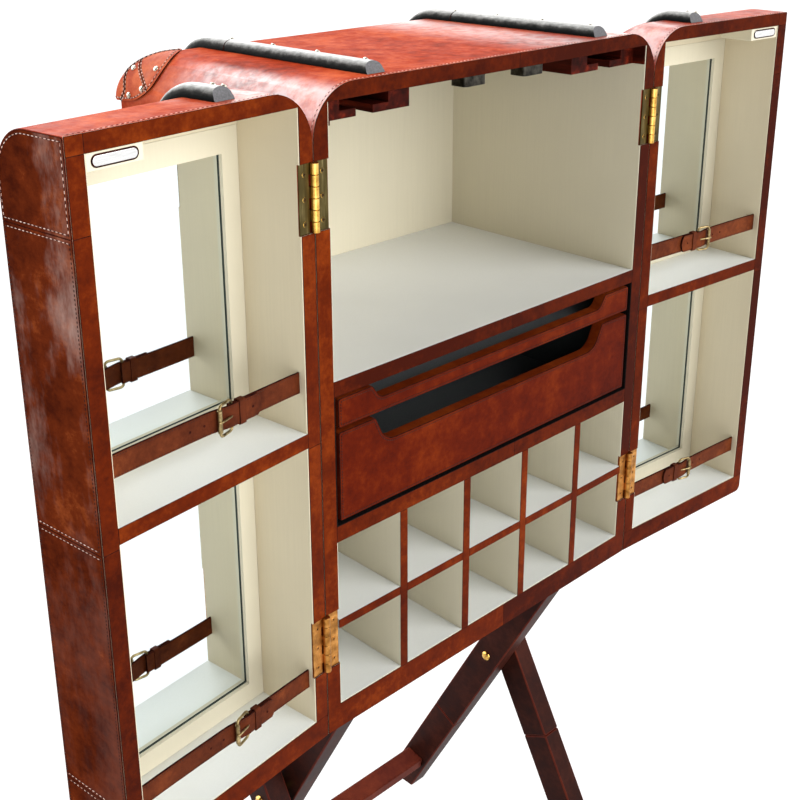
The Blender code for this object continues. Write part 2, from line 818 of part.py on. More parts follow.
# Stand: two crossed pairs of legs that turn on pivot bolts. The inner pair runs from the top front to
# the bottom back and carries the front rail, the outer pair from the top back to the bottom front.
pivot = empty("stand_pivot", trunk, (0, PIVOT_Y, PIVOT_Z))
FLOOR = -TRUNK_Z - PIVOT_Z  # from here on, heights are from the pivot
RAIL_TOP = -GAP - PIVOT_Z
LEG_TOP = RAIL_TOP - RAIL_H - GAP
SLANT = LEG_W / 2 / math.sin(LEG_ANGLE)
RUN = 1 / math.tan(LEG_ANGLE)


def leg(name, x, lean):
    """A leg through the pivot. lean is +1 where its foot is at the back."""
    corners = []
    for z, edge in ((LEG_TOP, -1), (LEG_TOP, 1), (FLOOR, 1), (FLOOR, -1)):
        corners.append((-lean * z * RUN + edge * SLANT, z))
    made = plate(name, [corners], LEG_T, "YZ", STAND_WOOD, pivot, (x, 0, 0))
    round_edges(made, 0.0025, 2)
    return made


def crossbar(name, half_length, y, z, size, tilt=0.0):
    made = block(
        name,
        (-half_length, half_length),
        (-size[0] / 2, size[0] / 2),
        (-size[1] / 2, size[1] / 2),
        STAND_WOOD,
        pivot,
        soften=0.002,
    )
    made.location = (0, y, z)
    made.rotation_euler = (tilt, 0, 0)
    return made


for pair, inner_face, lean in (("inner", INNER_LEG_X, 1), ("outer", OUTER_LEG_X, -1)):
    for name, side in SIDES.items():
        x = side * (inner_face + LEG_T / 2)
        made = leg(f"{pair}_leg_{name}", x, lean)
        hole = cylinder(
            f"{pair}_hole_{name}",
            BOLT_HOLE_R,
            LEG_T + REACH,
            parent=pivot,
            at=(x, 0, 0),
            turn=(0, math.pi / 2, 0),
            sides=32,
        )
        combine(made, hole, "DIFFERENCE")
    rail_y = -lean * (RAIL_TOP - RAIL_H / 2) * RUN
    rail_z = RAIL_TOP - RAIL_H / 2
    crossbar(f"{pair}_top_rail", inner_face + LEG_T, rail_y, rail_z, (RAIL_W, RAIL_H))
    foot_z = STRETCHER_Z - PIVOT_Z
    crossbar(
        f"{pair}_stretcher",
        inner_face - GAP,
        -lean * foot_z * RUN,
        foot_z,
        (STRETCHER_W, STRETCHER_H),
        lean * STRETCHER_TILT,
    )


def dome(height, radius, flip):
    """The domed head's outline, from its tip to its rim, or back from the rim to the tip."""
    points = []
    for step in range(5):
        angle = math.pi / 2 * step / 4
        points.append((radius * math.sin(angle), height * math.cos(angle)))
    return points[::-1] if flip else points


for name, side in SIDES.items():
    # Along the bolt from its outer head to its inner head, with the washer between the legs
    outer_end = OUTER_LEG_X + LEG_T + GAP
    inner_end = INNER_LEG_X - GAP
    washer = (INNER_LEG_X + LEG_T + GAP, OUTER_LEG_X - GAP)
    run = [(r, outer_end + h) for r, h in dome(BOLT_HEAD_H, BOLT_HEAD_R, False)]
    run += [(BOLT_R, outer_end), (BOLT_R, washer[1]), (WASHER_R, washer[1])]
    run += [(WASHER_R, washer[0]), (BOLT_R, washer[0]), (BOLT_R, inner_end)]
    run += [(r, inner_end - h) for r, h in dome(BOLT_HEAD_H, BOLT_HEAD_R, True)]
    shape = bmesh.new()
    ring = [shape.verts.new((r, 0, x)) for r, x in run]
    for first, second in zip(ring, ring[1:]):
        shape.edges.new((first, second))
    mesh = bpy.data.meshes.new(f"pivot_bolt_{name}")
    shape.to_mesh(mesh)
    shape.free()
    bolt = add(f"pivot_bolt_{name}", mesh, BRASS, pivot, (0, 0, 0), (0, side * math.pi / 2, 0))
    turned = bolt.modifiers.new("turned", "SCREW")
    turned.axis = "Z"
    turned.angle = 2 * math.pi
    turned.steps = 24
    turned.render_steps = 24
    turned.use_merge_vertices = True
    turned.merge_threshold = 0.00001

for piece in parts.objects:
    if piece.type == "MESH":
        piece.data.shade_smooth()
        piece.data.set_sharp_from_angle(angle=math.radians(35))
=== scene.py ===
"""The looks of a leather-covered trunk bar cabinet on a folding stand, built round its CAD frame."""

import math
import random

import bmesh
import bpy
from mathutils import Matrix, Vector


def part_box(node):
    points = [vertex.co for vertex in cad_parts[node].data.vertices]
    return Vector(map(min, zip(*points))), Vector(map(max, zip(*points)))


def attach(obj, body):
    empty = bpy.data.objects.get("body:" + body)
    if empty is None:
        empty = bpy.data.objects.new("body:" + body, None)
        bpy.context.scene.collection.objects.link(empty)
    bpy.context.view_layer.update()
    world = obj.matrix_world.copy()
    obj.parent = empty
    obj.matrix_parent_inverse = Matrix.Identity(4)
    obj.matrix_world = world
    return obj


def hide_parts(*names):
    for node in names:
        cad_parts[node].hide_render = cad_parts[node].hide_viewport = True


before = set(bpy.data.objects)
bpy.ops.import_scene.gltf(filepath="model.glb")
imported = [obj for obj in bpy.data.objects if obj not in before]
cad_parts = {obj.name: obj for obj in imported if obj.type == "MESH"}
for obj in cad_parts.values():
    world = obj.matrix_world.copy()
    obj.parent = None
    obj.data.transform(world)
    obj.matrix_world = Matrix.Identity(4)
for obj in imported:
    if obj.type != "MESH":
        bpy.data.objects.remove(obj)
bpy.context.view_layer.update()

# Trunk case. A plywood box with rounded top and back edges, wrapped in one tan hide that is glued down
# and polished, and lined inside with cream board. Its front edges are faced in the sections below.
shell_low, shell_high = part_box("case_shell")
TRUNK = Matrix.Translation(((shell_low.x + shell_high.x) / 2, shell_low.y, shell_low.z))
WIDTH = 0.58
HEIGHT = 0.7601
DEPTH = 0.352
EDGE_R = 0.0559
UPRIGHT_R = 0.010
HOLLOW_R = 0.040
INNER_X = 0.2692
BACK_Y = 0.3323
FLOOR_Z = 0.0339
CEILING_Z = 0.7428
WRAP_EDGE = 0.0009  # rounding of the hide over the sharp edges


class Value:
    """A number, colour or vector in a finish. Arithmetic on it adds Math nodes."""

    def __init__(self, finish, socket):
        self.finish = finish
        self.socket = socket

    def math(self, operation, *values):
        return self.finish.node("ShaderNodeMath", {"operation": operation}, dict(enumerate(values)))

    def __add__(self, other):
        return self.math("ADD", self, other)

    def __sub__(self, other):
        return self.math("SUBTRACT", self, other)

    def __rsub__(self, other):
        return self.math("SUBTRACT", other, self)

    def __mul__(self, other):
        return self.math("MULTIPLY", self, other)

    def __truediv__(self, other):
        return self.math("DIVIDE", self, other)

    def __abs__(self):
        return self.math("ABSOLUTE", self)

    __radd__ = __add__
    __rmul__ = __mul__

    def band(self, start, end):
        """0 below start, 1 above end and smooth between them."""
        return self.finish.node(
            "ShaderNodeMapRange",
            {"interpolation_type": "SMOOTHSTEP"},
            {"Value": self, "From Min": start, "From Max": end},
        )


class Finish:
    """A material, made of nodes round one shader."""

    def __init__(self, name, **settings):
        self.material = bpy.data.materials.new(name)
        self.material.use_nodes = True
        self.tree = self.material.node_tree
        self.shader = self.tree.nodes["Principled BSDF"]
        self.place = self.node("ShaderNodeTexCoord", output="Object")
        for socket, value in settings.items():
            self.feed(self.shader.inputs[socket.replace("_", " ")], value)

    def feed(self, socket, value):
        if isinstance(value, Value):
            self.tree.links.new(value.socket, socket)
        elif isinstance(value, tuple) and len(value) == 3 and socket.type == "RGBA":
            socket.default_value = (*value, 1.0)
        else:
            socket.default_value = value

    def node(self, kind, settings=None, sockets=None, output=0):
        made = self.tree.nodes.new(kind)
        for name, value in (settings or {}).items():
            if name == "stops":
                ramp = made.color_ramp.elements
                while len(ramp) < len(value):
                    ramp.new(0.5)
                for stop, (position, colour) in zip(ramp, value):
                    stop.position = position
                    stop.color = (*colour, 1.0)
            else:
                setattr(made, name, value)
        for name, value in (sockets or {}).items():
            self.feed(made.inputs[name], value)
        return Value(self, made.outputs[output])

    def noise(self, scale, detail=3.0, roughness=0.5, place=None):
        sockets = {"Vector": place or self.place, "Scale": scale, "Detail": detail, "Roughness": roughness}
        return self.node("ShaderNodeTexNoise", None, sockets)

    def stretched(self, x, y, z):
        return self.node(
            "ShaderNodeVectorMath", {"operation": "MULTIPLY"}, {0: self.place, 1: (x, y, z)}
        )

    def ramp(self, value, *stops):
        return self.node("ShaderNodeValToRGB", {"stops": stops}, {0: value})

    def mix(self, factor, first, second, blend="MIX"):
        return self.node(
            "ShaderNodeMix", {"data_type": "RGBA", "blend_type": blend}, {0: factor, 6: first, 7: second}, 2
        )

    def tone(self, kept="tone"):
        """How much paler or deeper a cut piece is than its neighbours, or another value kept in its mesh."""
        return self.node("ShaderNodeAttribute", {"attribute_name": kept}, output="Fac")

    def relief(self, height, strength, distance):
        sockets = {"Strength": strength, "Distance": distance, "Height": height}
        self.feed(self.shader.inputs["Normal"], self.node("ShaderNodeBump", None, sockets))

    def set(self, **sockets):
        for name, value in sockets.items():
            self.feed(self.shader.inputs[name.replace("_", " ")], value)
        return self


def leather(name, deep, middle, pale, gloss=0.36, sheen_strength=0.0, shine=0.12, wax=None):
    """Polished hide: clouded colour, fine creases and pores, and a pale painted sheen mixed in, stronger high up. wax
    is
    for a flat top: where along it the polish starts, where it is full, how much of it the rest has, and how far
    back it starts to wear off and has worn off. The rounded shoulders are polished all over. With wax, the hide
    below the top also takes a deeper copy of its colours, as painted shade."""
    finish = Finish(name, Coat_Roughness=0.32, Coat_IOR=2.0, Specular_IOR_Level=shine)
    cloud = finish.noise(6.0, 4.0, 0.55)
    mottle = finish.noise(42.0, 5.0, 0.62)
    crease = finish.noise(150.0, 6.0, 0.7, finish.stretched(1.0, 0.6, 1.0))
    pores = finish.node(
        "ShaderNodeTexVoronoi", None, {"Vector": finish.place, "Scale": 620.0}, "Distance"
    )
    along, behind, up = (finish.node("ShaderNodeSeparateXYZ", None, {0: finish.place}, axis) for axis in "XYZ")
    depth = cloud * 0.45 + mottle * 0.32 + crease * 0.23 + finish.tone()
    colour = finish.ramp(depth, (0.36, deep), (0.50, middle), (0.66, pale))
    if wax:  # painted light: the hide keeps its paler colours on top and takes a deeper copy of them below, as painted shade
        below = finish.ramp(depth, (0.36, (0.045, 0.005, 0.002)), (0.50, (0.105, 0.012, 0.003)), (0.66, (0.200, 0.034, 0.009)))
        colour = finish.mix(up.band(0.62, 0.72), below, colour)
    # painted sheen: a pale colour mixed into the hide in noisy patches, stronger high up, which also roughens it
    painted_sheen = finish.noise(9.0, 6.0, 0.7, finish.stretched(1.0, 1.0, 0.45)).band(0.44, 0.70) * sheen_strength
    painted_sheen = painted_sheen * (up.band(0.25, 0.62) * 0.9 + 0.1)
    colour = finish.mix(painted_sheen, colour, (0.42, 0.30, 0.26))
    finish.set(Base_Color=colour, Roughness=gloss + mottle * 0.14 + painted_sheen * 0.25)
    if wax:
        start, full, least, wears, worn = wax
        patches = finish.noise(5.0, 3.0, 0.5) * 0.35 + finish.noise(70.0, 6.0, 0.68) * 0.65
        on_flat = along.band(start, full) * (1 - least) + least
        on_curve = 1 - behind.band(wears, worn) * 0.9
        polished = on_curve + (on_flat - on_curve) * up.band(HEIGHT - 0.010, HEIGHT - 0.001)
        finish.set(Coat_Weight=(patches.band(0.38, 0.58) * 0.5 + 0.5) * polished * up.band(0.655, 0.715))
    finish.relief(crease * 0.7 + pores * 0.3, 0.22, 0.0006)
    return finish.material


HIDE_COLOURS = (0.120, 0.010, 0.003), (0.330, 0.036, 0.010), (0.540, 0.110, 0.040)
# The wraps' hides take wax, so they are painted paler on top and deeper below.
HIDE = leather("polished_hide", *HIDE_COLOURS, 0.34, 0.0, 0.0, (0.02, 0.17, 0.08, 0.17, 0.27))
# Dark burnished hide edges. The same dark finish also paints shade: in screw slots, in strap holes and round the strike
# plates.
DARK_EDGE_AND_SHADE = Finish("burnished_edge_and_painted_shade", Roughness=0.50, Specular_IOR_Level=0.0)
edge_wear = DARK_EDGE_AND_SHADE.noise(160.0, 4.0, 0.6)
DARK_EDGE_AND_SHADE.set(Base_Color=DARK_EDGE_AND_SHADE.ramp(edge_wear, (0.35, (0.010, 0.004, 0.004)), (0.75, (0.060, 0.014, 0.008))))
DARK_EDGE_AND_SHADE.relief(edge_wear, 0.2, 0.0004)
DARK_EDGE_AND_SHADE = DARK_EDGE_AND_SHADE.material


def lining(name, colour, streak, cloudy):
    """Painted board: a faint upright grain, and cloudy patches where it was wiped."""
    finish = Finish(name, Roughness=0.55, Specular_IOR_Level=0.20)
    grain = finish.noise(1.0, 4.0, 0.6, finish.stretched(420.0, 420.0, 9.0))
    patches = finish.noise(5.0, 3.0, 0.5)
    shade = tuple(channel * streak for channel in colour)
    mottled = finish.mix(grain.band(0.35, 0.70), colour, shade)
    wiped = tuple(channel * cloudy for channel in colour)
    finish.set(Base_Color=finish.mix(patches.band(0.42, 0.68), mottled, wiped))
    finish.relief(grain, 0.10, 0.0003)
    return finish.material


# The case's lining and the doors' are lit and shaded copies of one cream: the doors' deeper copy is painted shade.
CREAM = lining("cream_lining", (0.620, 0.572, 0.438), 0.97, 0.95)
SHADED_DOOR_CREAM = lining("door_cream_lining_painted_shade", (0.620, 0.545, 0.395), 0.97, 0.95)
WHITE = lining("white_board", (0.770, 0.785, 0.760), 0.98, 0.96)


def piece(name, mesh, place, body, stands_for=(), finishes=(), smooth=50.0):
    """Puts a finished mesh in its place, to ride on its body."""
    made = bpy.data.objects.new(name, mesh)
    bpy.context.scene.collection.objects.link(made)
    made.matrix_world = place
    for finish in finishes:
        mesh.materials.append(finish)
    if smooth:
        mesh.shade_smooth()
        mesh.set_sharp_from_angle(angle=math.radians(smooth))
        even = made.modifiers.new("even_shading", "WEIGHTED_NORMAL")
        even.keep_sharp = True
    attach(made, body)
    if stands_for:
        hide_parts(*stands_for)
    return made


def shaped_box(lower, upper, radius_at=None, segments=16):
    """A box on the bench, whose edges are rounded by the radius given for the middle of each."""
    lower, upper = Vector(lower), Vector(upper)
    shape = bmesh.new()
    bmesh.ops.create_cube(shape, size=1.0)
    weight = shape.edges.layers.float.new("bevel_weight_edge")
    bmesh.ops.scale(shape, vec=upper - lower, verts=shape.verts)
    radii = [radius_at((e.verts[0].co + e.verts[1].co) / 2) if radius_at else 0.0 for e in shape.edges]
    largest = max(radii)
    for edge, radius in zip(shape.edges, radii):
        edge[weight] = radius / largest if largest else 0.0
    bmesh.ops.translate(shape, vec=(lower + upper) / 2, verts=shape.verts)
    mesh = bpy.data.meshes.new("bench")
    shape.to_mesh(mesh)
    shape.free()
    made = bpy.data.objects.new("bench", mesh)
    bpy.context.scene.collection.objects.link(made)
    if largest:
        bevel = made.modifiers.new("rounding", "BEVEL")
        bevel.limit_method = "WEIGHT"
        bevel.width = largest
        bevel.segments = segments
    return made


def bar(outline, low, high, turn=None):
    """A straight bar on the bench with an outline for its section, turned to run as wanted."""
    shape = bmesh.new()
    near, far = ([shape.verts.new((p[0], p[1], end)) for p in outline] for end in (low, high))
    shape.faces.new(near)
    shape.faces.new(far)
    for k in range(len(outline)):
        shape.faces.new((near[k - 1], near[k], far[k], far[k - 1]))
    if turn:
        bmesh.ops.transform(shape, matrix=turn, verts=shape.verts)
    bmesh.ops.recalc_face_normals(shape, faces=shape.faces)
    mesh = bpy.data.meshes.new("bench")
    shape.to_mesh(mesh)
    shape.free()
    made = bpy.data.objects.new("bench", mesh)
    bpy.context.scene.collection.objects.link(made)
    return made


def settle(made, hollows=(), soften=0.0, soften_finish=-1, shared=()):
    """The mesh of a form on the bench, cut to what it shares with others, hollowed and softened."""
    for others, operation in ((shared, "INTERSECT"), (hollows, "DIFFERENCE")):
        for other in others:
            cut = made.modifiers.new(operation.lower(), "BOOLEAN")
            cut.operation = operation
            cut.solver = "EXACT"
            cut.object = other
    if soften:
        bevel = made.modifiers.new("softened", "BEVEL")
        bevel.limit_method = "ANGLE"
        bevel.angle_limit = math.radians(50)
        bevel.width = soften
        bevel.segments = 2
        bevel.material = soften_finish
    bpy.context.view_layer.update()
    mesh = bpy.data.meshes.new_from_object(made.evaluated_get(bpy.context.evaluated_depsgraph_get()))
    for helper in (made, *hollows, *shared):
        bpy.data.objects.remove(helper, do_unlink=True)
    finishes = [face.material_index for face in mesh.polygons]
    mesh.materials.clear()  # this forgets which finish each face takes
    for face, finish in zip(mesh.polygons, finishes):
        face.material_index = finish
    return mesh


def line_the_hollow(mesh, half_x, back_y, floor_z, ceiling_z, middle_x=0.0):
    """Gives the hollow's floor white board, its other walls and its front edge cream board. The hide's outer
    front edge is burnished dark."""
    slack = 0.0006
    for face in mesh.polygons:
        x, y, z = face.center
        inside = abs(x - middle_x) < half_x + slack and floor_z - slack < z < ceiling_z + slack
        front = y < slack and face.normal.y < -0.9
        if front or (inside and y < back_y + slack and face.normal.y < 0.1):
            face.material_index = 2 if face.normal.z > 0.9 else 1
        else:
            face.material_index = 3 if y < WRAP_EDGE and face.normal.y < -0.25 else 0


def back_top(radius):
    """Rounding of a hollow's top edge at the back alone."""
    return lambda middle: radius if middle.z > 0.01 and middle.y > 0.01 and abs(middle.x) < 0.01 else 0.0


def rounded_path(corners, radii, closed=True, step=0.0015):
    """Points along an outline whose corners are rounded."""
    corners = [Vector(corner) for corner in corners]
    count = len(corners)
    points = []
    for index, corner in enumerate(corners):
        radius = radii[index]
        if not radius or (not closed and index in (0, count - 1)):
            points.append(corner)
            continue
        before = (corners[index - 1] - corner).normalized()
        after = (corners[(index + 1) % count] - corner).normalized()
        half = before.angle(after) / 2
        centre = corner + (before + after).normalized() * (radius / math.sin(half))
        start = (corner + before * (radius / math.tan(half)) - centre).normalized()
        end = (corner + after * (radius / math.tan(half)) - centre).normalized()
        parts = max(3, math.ceil(radius * (math.pi - 2 * half) / step / 2))
        for part in range(parts + 1):
            share = part / parts
            points.append(centre + start.slerp(end, share) * radius)
    return points


FROM_FRONT = Matrix(((1, 0, 0, 0), (0, 0, 1, 0), (0, 1, 0, 0), (0, 0, 0, 1)))
FROM_SIDE = Matrix(((0, 0, 1, 0), (1, 0, 0, 0), (0, 1, 0, 0), (0, 0, 0, 1)))
OVER = 0.02  # how far a cutter runs past what it cuts


def case_form(out=0.0):
    """The case's outer form, larger all round by a distance, as its front view cut by its side view and
    plan. The rounded edges meet in a mitre."""
    half, low, top, back = WIDTH / 2 + out, -out, HEIGHT + out, DEPTH + out
    front_view = [(-half, low), (half, low), (half, top), (-half, top)]
    side_view = [(-OVER, low - OVER), (back, low - OVER), (back, top), (-OVER, top)]
    plan = [(-half, -OVER), (half, -OVER), (half, back), (-half, back)]
    form = bar(rounded_path(front_view, [0, 0, EDGE_R + out, EDGE_R + out]), low, back, FROM_FRONT)
    return form, [
        bar(rounded_path(side_view, [0, 0, EDGE_R + out, 0]), -half - OVER, half + OVER, FROM_SIDE),
        bar(rounded_path(plan, [0, 0, UPRIGHT_R + out, UPRIGHT_R + out]), low - OVER, top + OVER),
    ]


PIN_OUT = 0.0005  # a hinge pin's axis from the case's side
PIN_Y = 0.002  # and in front of it
HINGES_Z = {"lower": 0.1255, "upper": 0.6500}
LEAF_L = 0.0722
SEAT_L = LEAF_L + 0.0006
SEAT_Y = 0.0027  # floor of the seat cut for a leaf
NOTCH_R = 0.0048  # groove for the knuckles


def hinge_seats(pin_x, wall):
    """Cutters for the seats of both hinges: one across the wall's whole front, and the knuckles' groove."""
    cutters = []
    turns = [2 * math.pi * k / 32 for k in range(32)]
    for z in HINGES_Z.values():
        low, high = z - SEAT_L / 2, z + SEAT_L / 2
        groove = [(pin_x + NOTCH_R * math.cos(a), -PIN_Y + NOTCH_R * math.sin(a)) for a in turns]
        cutters.append(bar(groove, low, high))
        cutters.append(shaped_box((min(wall), -OVER, low), (max(wall), SEAT_Y, high)))
    return cutters


form, other_views = case_form()
case_hollows = [shaped_box((-INNER_X, -OVER, FLOOR_Z), (INNER_X, BACK_Y, CEILING_Z), back_top(HOLLOW_R))]
for side in (-1, 1):
    case_hollows += hinge_seats(
        side * (WIDTH / 2 + PIN_OUT), (side * (INNER_X - OVER), side * (WIDTH / 2 + OVER))
    )
case_mesh = settle(form, case_hollows, WRAP_EDGE, shared=other_views)
line_the_hollow(case_mesh, INNER_X, BACK_Y, FLOOR_Z, CEILING_Z)
piece("case_wrap", case_mesh, TRUNK, "trunk", ["case_shell"], [HIDE, CREAM, WHITE, DARK_EDGE_AND_SHADE])

# Front edges of the case and its boards. Strips of hide 0.8 mm thick with burnished edges are glued on
# the front of every wall and board. They leave the edge of the lining bare, as a thin pale line.
FACING_T = 0.0008
FACING_INSET = 0.0
LINING_EDGE = 0.0010
FRONT = Matrix(((1, 0, 0, 0), (0, 0, -1, 0), (0, 1, 0, 0), (0, 0, 0, 1)))  # cut flat, set up facing the front
STRIP = leather("strip_hide", (0.036, 0.004, 0.001), (0.088, 0.010, 0.001), (0.200, 0.032, 0.003), 0.33, 0.0, 0.02)


def cut_hide(outlines, thickness, edge, wall_finish=1):
    """A flat piece with softly rounded edges, lying on its back. Its edges take the second finish."""
    curve = bpy.data.curves.new("cut", "CURVE")
    curve.dimensions = "2D"
    curve.fill_mode = "BOTH"
    curve.extrude = thickness / 2
    for points in outlines:
        spline = curve.splines.new("POLY")
        spline.points.add(len(points) - 1)
        for target, point in zip(spline.points, points):
            target.co = (point[0], point[1], 0, 1)
        spline.use_cyclic_u = True
    holder = bpy.data.objects.new("cut", curve)
    bpy.context.scene.collection.objects.link(holder)
    bpy.context.view_layer.update()
    mesh = bpy.data.meshes.new_from_object(holder.evaluated_get(bpy.context.evaluated_depsgraph_get()))
    bpy.data.objects.remove(holder, do_unlink=True)
    shape = bmesh.new()
    shape.from_mesh(mesh)
    bmesh.ops.remove_doubles(shape, verts=shape.verts, dist=0.00001)
    bmesh.ops.translate(shape, vec=(0, 0, thickness / 2), verts=shape.verts)
    bmesh.ops.recalc_face_normals(shape, faces=shape.faces)
    within = [e for e in shape.edges if all(abs(f.normal.z) > 0.99 for f in e.link_faces)]
    bmesh.ops.dissolve_edges(shape, edges=within, use_verts=False)
    for face in shape.faces:
        face.material_index = 0 if abs(face.normal.z) > 0.95 else wall_finish
    shape.to_mesh(mesh)
    shape.free()
    bench = bpy.data.objects.new("bench", mesh)
    bpy.context.scene.collection.objects.link(bench)
    mesh.materials.clear()
    for _ in range(3):
        mesh.materials.append(None)
    return settle(bench, (), edge, 1)


def gather(cuts):
    """One mesh from (mesh, place, tone) pieces. The tone makes a piece paler or deeper than the rest."""
    whole = bmesh.new()
    tones = whole.faces.layers.float.new("tone")
    for mesh, place, tone in cuts:
        start = len(whole.faces)
        first = len(whole.verts)
        whole.from_mesh(mesh)
        whole.verts.ensure_lookup_table()
        whole.faces.ensure_lookup_table()
        bmesh.ops.transform(whole, matrix=place, verts=whole.verts[first:])
        for face in whole.faces[start:]:
            face[tones] = tone
        bpy.data.meshes.remove(mesh)
    bmesh.ops.recalc_face_normals(whole, faces=whole.faces)
    mesh = bpy.data.meshes.new("gathered")
    whole.to_mesh(mesh)
    whole.free()
    return mesh


def strip(x, z, tone=0.0):
    """A straight facing strip between two limits each way."""
    corners = [(min(x), min(z)), (max(x), min(z)), (max(x), max(z)), (min(x), max(z))]
    return cut_hide([rounded_path(corners, [0.0004] * 4)], FACING_T, 0.0004), FRONT, tone


TOP_SEAM_X = 0.021
rim_inner_x = INNER_X + LINING_EDGE
rim_floor = FLOOR_Z - LINING_EDGE
rim_ceiling = CEILING_Z
seats = [(z - SEAT_L / 2, z + SEAT_L / 2) for z in HINGES_Z.values()]
case_facings = []
for side in (-1, 1):
    outer = side * (WIDTH / 2 - FACING_INSET)
    inner = side * rim_inner_x
    high = HEIGHT - FACING_INSET
    foot = [(outer, seats[0][0]), (outer, FACING_INSET), (TOP_SEAM_X, FACING_INSET), (TOP_SEAM_X, rim_floor),
            (inner, rim_floor), (inner, seats[0][0])]
    upright = [(outer, seats[1][0]), (outer, seats[0][1]), (inner, seats[0][1]), (inner, seats[1][0])]
    crown = [(TOP_SEAM_X, high), (outer, high), (outer, seats[1][1]), (inner, seats[1][1]),
             (inner, rim_ceiling), (TOP_SEAM_X, rim_ceiling)]
    for corners, radii in (
        (foot, [0, 0.001, 0, 0, 0, 0]),
        (upright, [0, 0, 0, 0]),
        (crown, [0, EDGE_R - FACING_INSET, 0, 0, 0, 0]),
    ):
        # The top piece's deeper tone is painted shade; the right side's pieces are also deeper than the left's.
        tone = -0.100 if corners is crown else -0.055 - 0.065 * side
        case_facings.append((cut_hide([rounded_path(corners, radii)], FACING_T, 0.0004), FRONT, tone))

BAR_SHELF_Z = (0.4250, 0.4434)
CUBBY_TOP_Z = (0.2479, 0.2684)
CUBBY_SHELF_Z = (0.1356, 0.1472)
DIVIDER_T = 0.0124
DIVIDERS = 4
BARE = 0.0002  # lining left bare on each side of a board's strip
cubby_w = (2 * INNER_X - DIVIDERS * DIVIDER_T) / (DIVIDERS + 1)
centres = [-INNER_X + cubby_w + DIVIDER_T / 2 + i * (cubby_w + DIVIDER_T) for i in range(DIVIDERS)]
for number, (low, high) in enumerate((BAR_SHELF_Z, CUBBY_TOP_Z)):
    limits = (low + (0 if number == 0 else BARE), high - BARE)
    case_facings.append(strip((-rim_inner_x, TOP_SEAM_X + 0.012 * number), limits, -0.11 + 0.09 * number))
    case_facings.append(strip((TOP_SEAM_X + 0.012 * number, rim_inner_x), limits, -0.13 + 0.10 * number))
stops = [-rim_inner_x]
for number, centre in enumerate(centres):
    half = DIVIDER_T / 2 - BARE
    case_facings.append(
        strip((centre - half, centre + half), (rim_floor, CUBBY_TOP_Z[0] + BARE), 0.02 * (number % 3 - 1))
    )
    stops += [centre - half, centre + half]
stops.append(rim_inner_x)
for number in range(DIVIDERS + 1):
    low, high = CUBBY_SHELF_Z
    ends = stops[2 * number : 2 * number + 2]
    case_facings.append(strip(ends, (low + BARE, high - BARE), 0.015 * (number % 2)))
piece("case_front_strips", gather(case_facings), TRUNK, "trunk", (), [STRIP, DARK_EDGE_AND_SHADE])

# Boards of the case. The bar shelf, the board over the cubbies and the crossed cubby boards are white
# and cream painted board, their sharp edges just broken.


def dress(node, finish, soften=0.0004):
    """Gives a CAD node its finish and breaks its edges."""
    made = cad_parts[node]
    made.data.materials.clear()
    made.data.materials.append(finish)
    if soften:
        bevel = made.modifiers.new("broken_edges", "BEVEL")
        bevel.width = soften
        bevel.segments = 2
        bevel.limit_method = "ANGLE"
        bevel.angle_limit = math.radians(50)
    return made


for node in ("bar_shelf", "cubby_top_board", "cubby_shelf"):
    dress(node, WHITE)
for number in range(DIVIDERS):
    dress(f"cubby_divider_{number + 1}", CREAM)

# Stitching along the case. Pale waxed thread runs through the hide 3.5 mm behind its front edge, up one
# side, over the rounded corners and the top, and down the other side.
THREAD_PALE = Finish("pale_thread", Roughness=0.6)
THREAD_PALE.set(
    Base_Color=THREAD_PALE.ramp(
        THREAD_PALE.noise(90.0, 3.0), (0.35, (0.34, 0.16, 0.11)), (0.60, (0.70, 0.50, 0.42))
    )
)
THREAD_PALE = THREAD_PALE.material
DARK_THREAD_AND_HOLE_SHADE = Finish("dark_thread_and_hole_shade", Roughness=0.55, Specular_IOR_Level=0.1)
DARK_THREAD_AND_HOLE_SHADE.set(
    Base_Color=DARK_THREAD_AND_HOLE_SHADE.ramp(
        DARK_THREAD_AND_HOLE_SHADE.noise(90.0, 3.0), (0.35, (0.016, 0.005, 0.004)), (0.70, (0.045, 0.012, 0.008))
    )
)
DARK_THREAD_AND_HOLE_SHADE = DARK_THREAD_AND_HOLE_SHADE.material
STITCH_IN = 0.0035


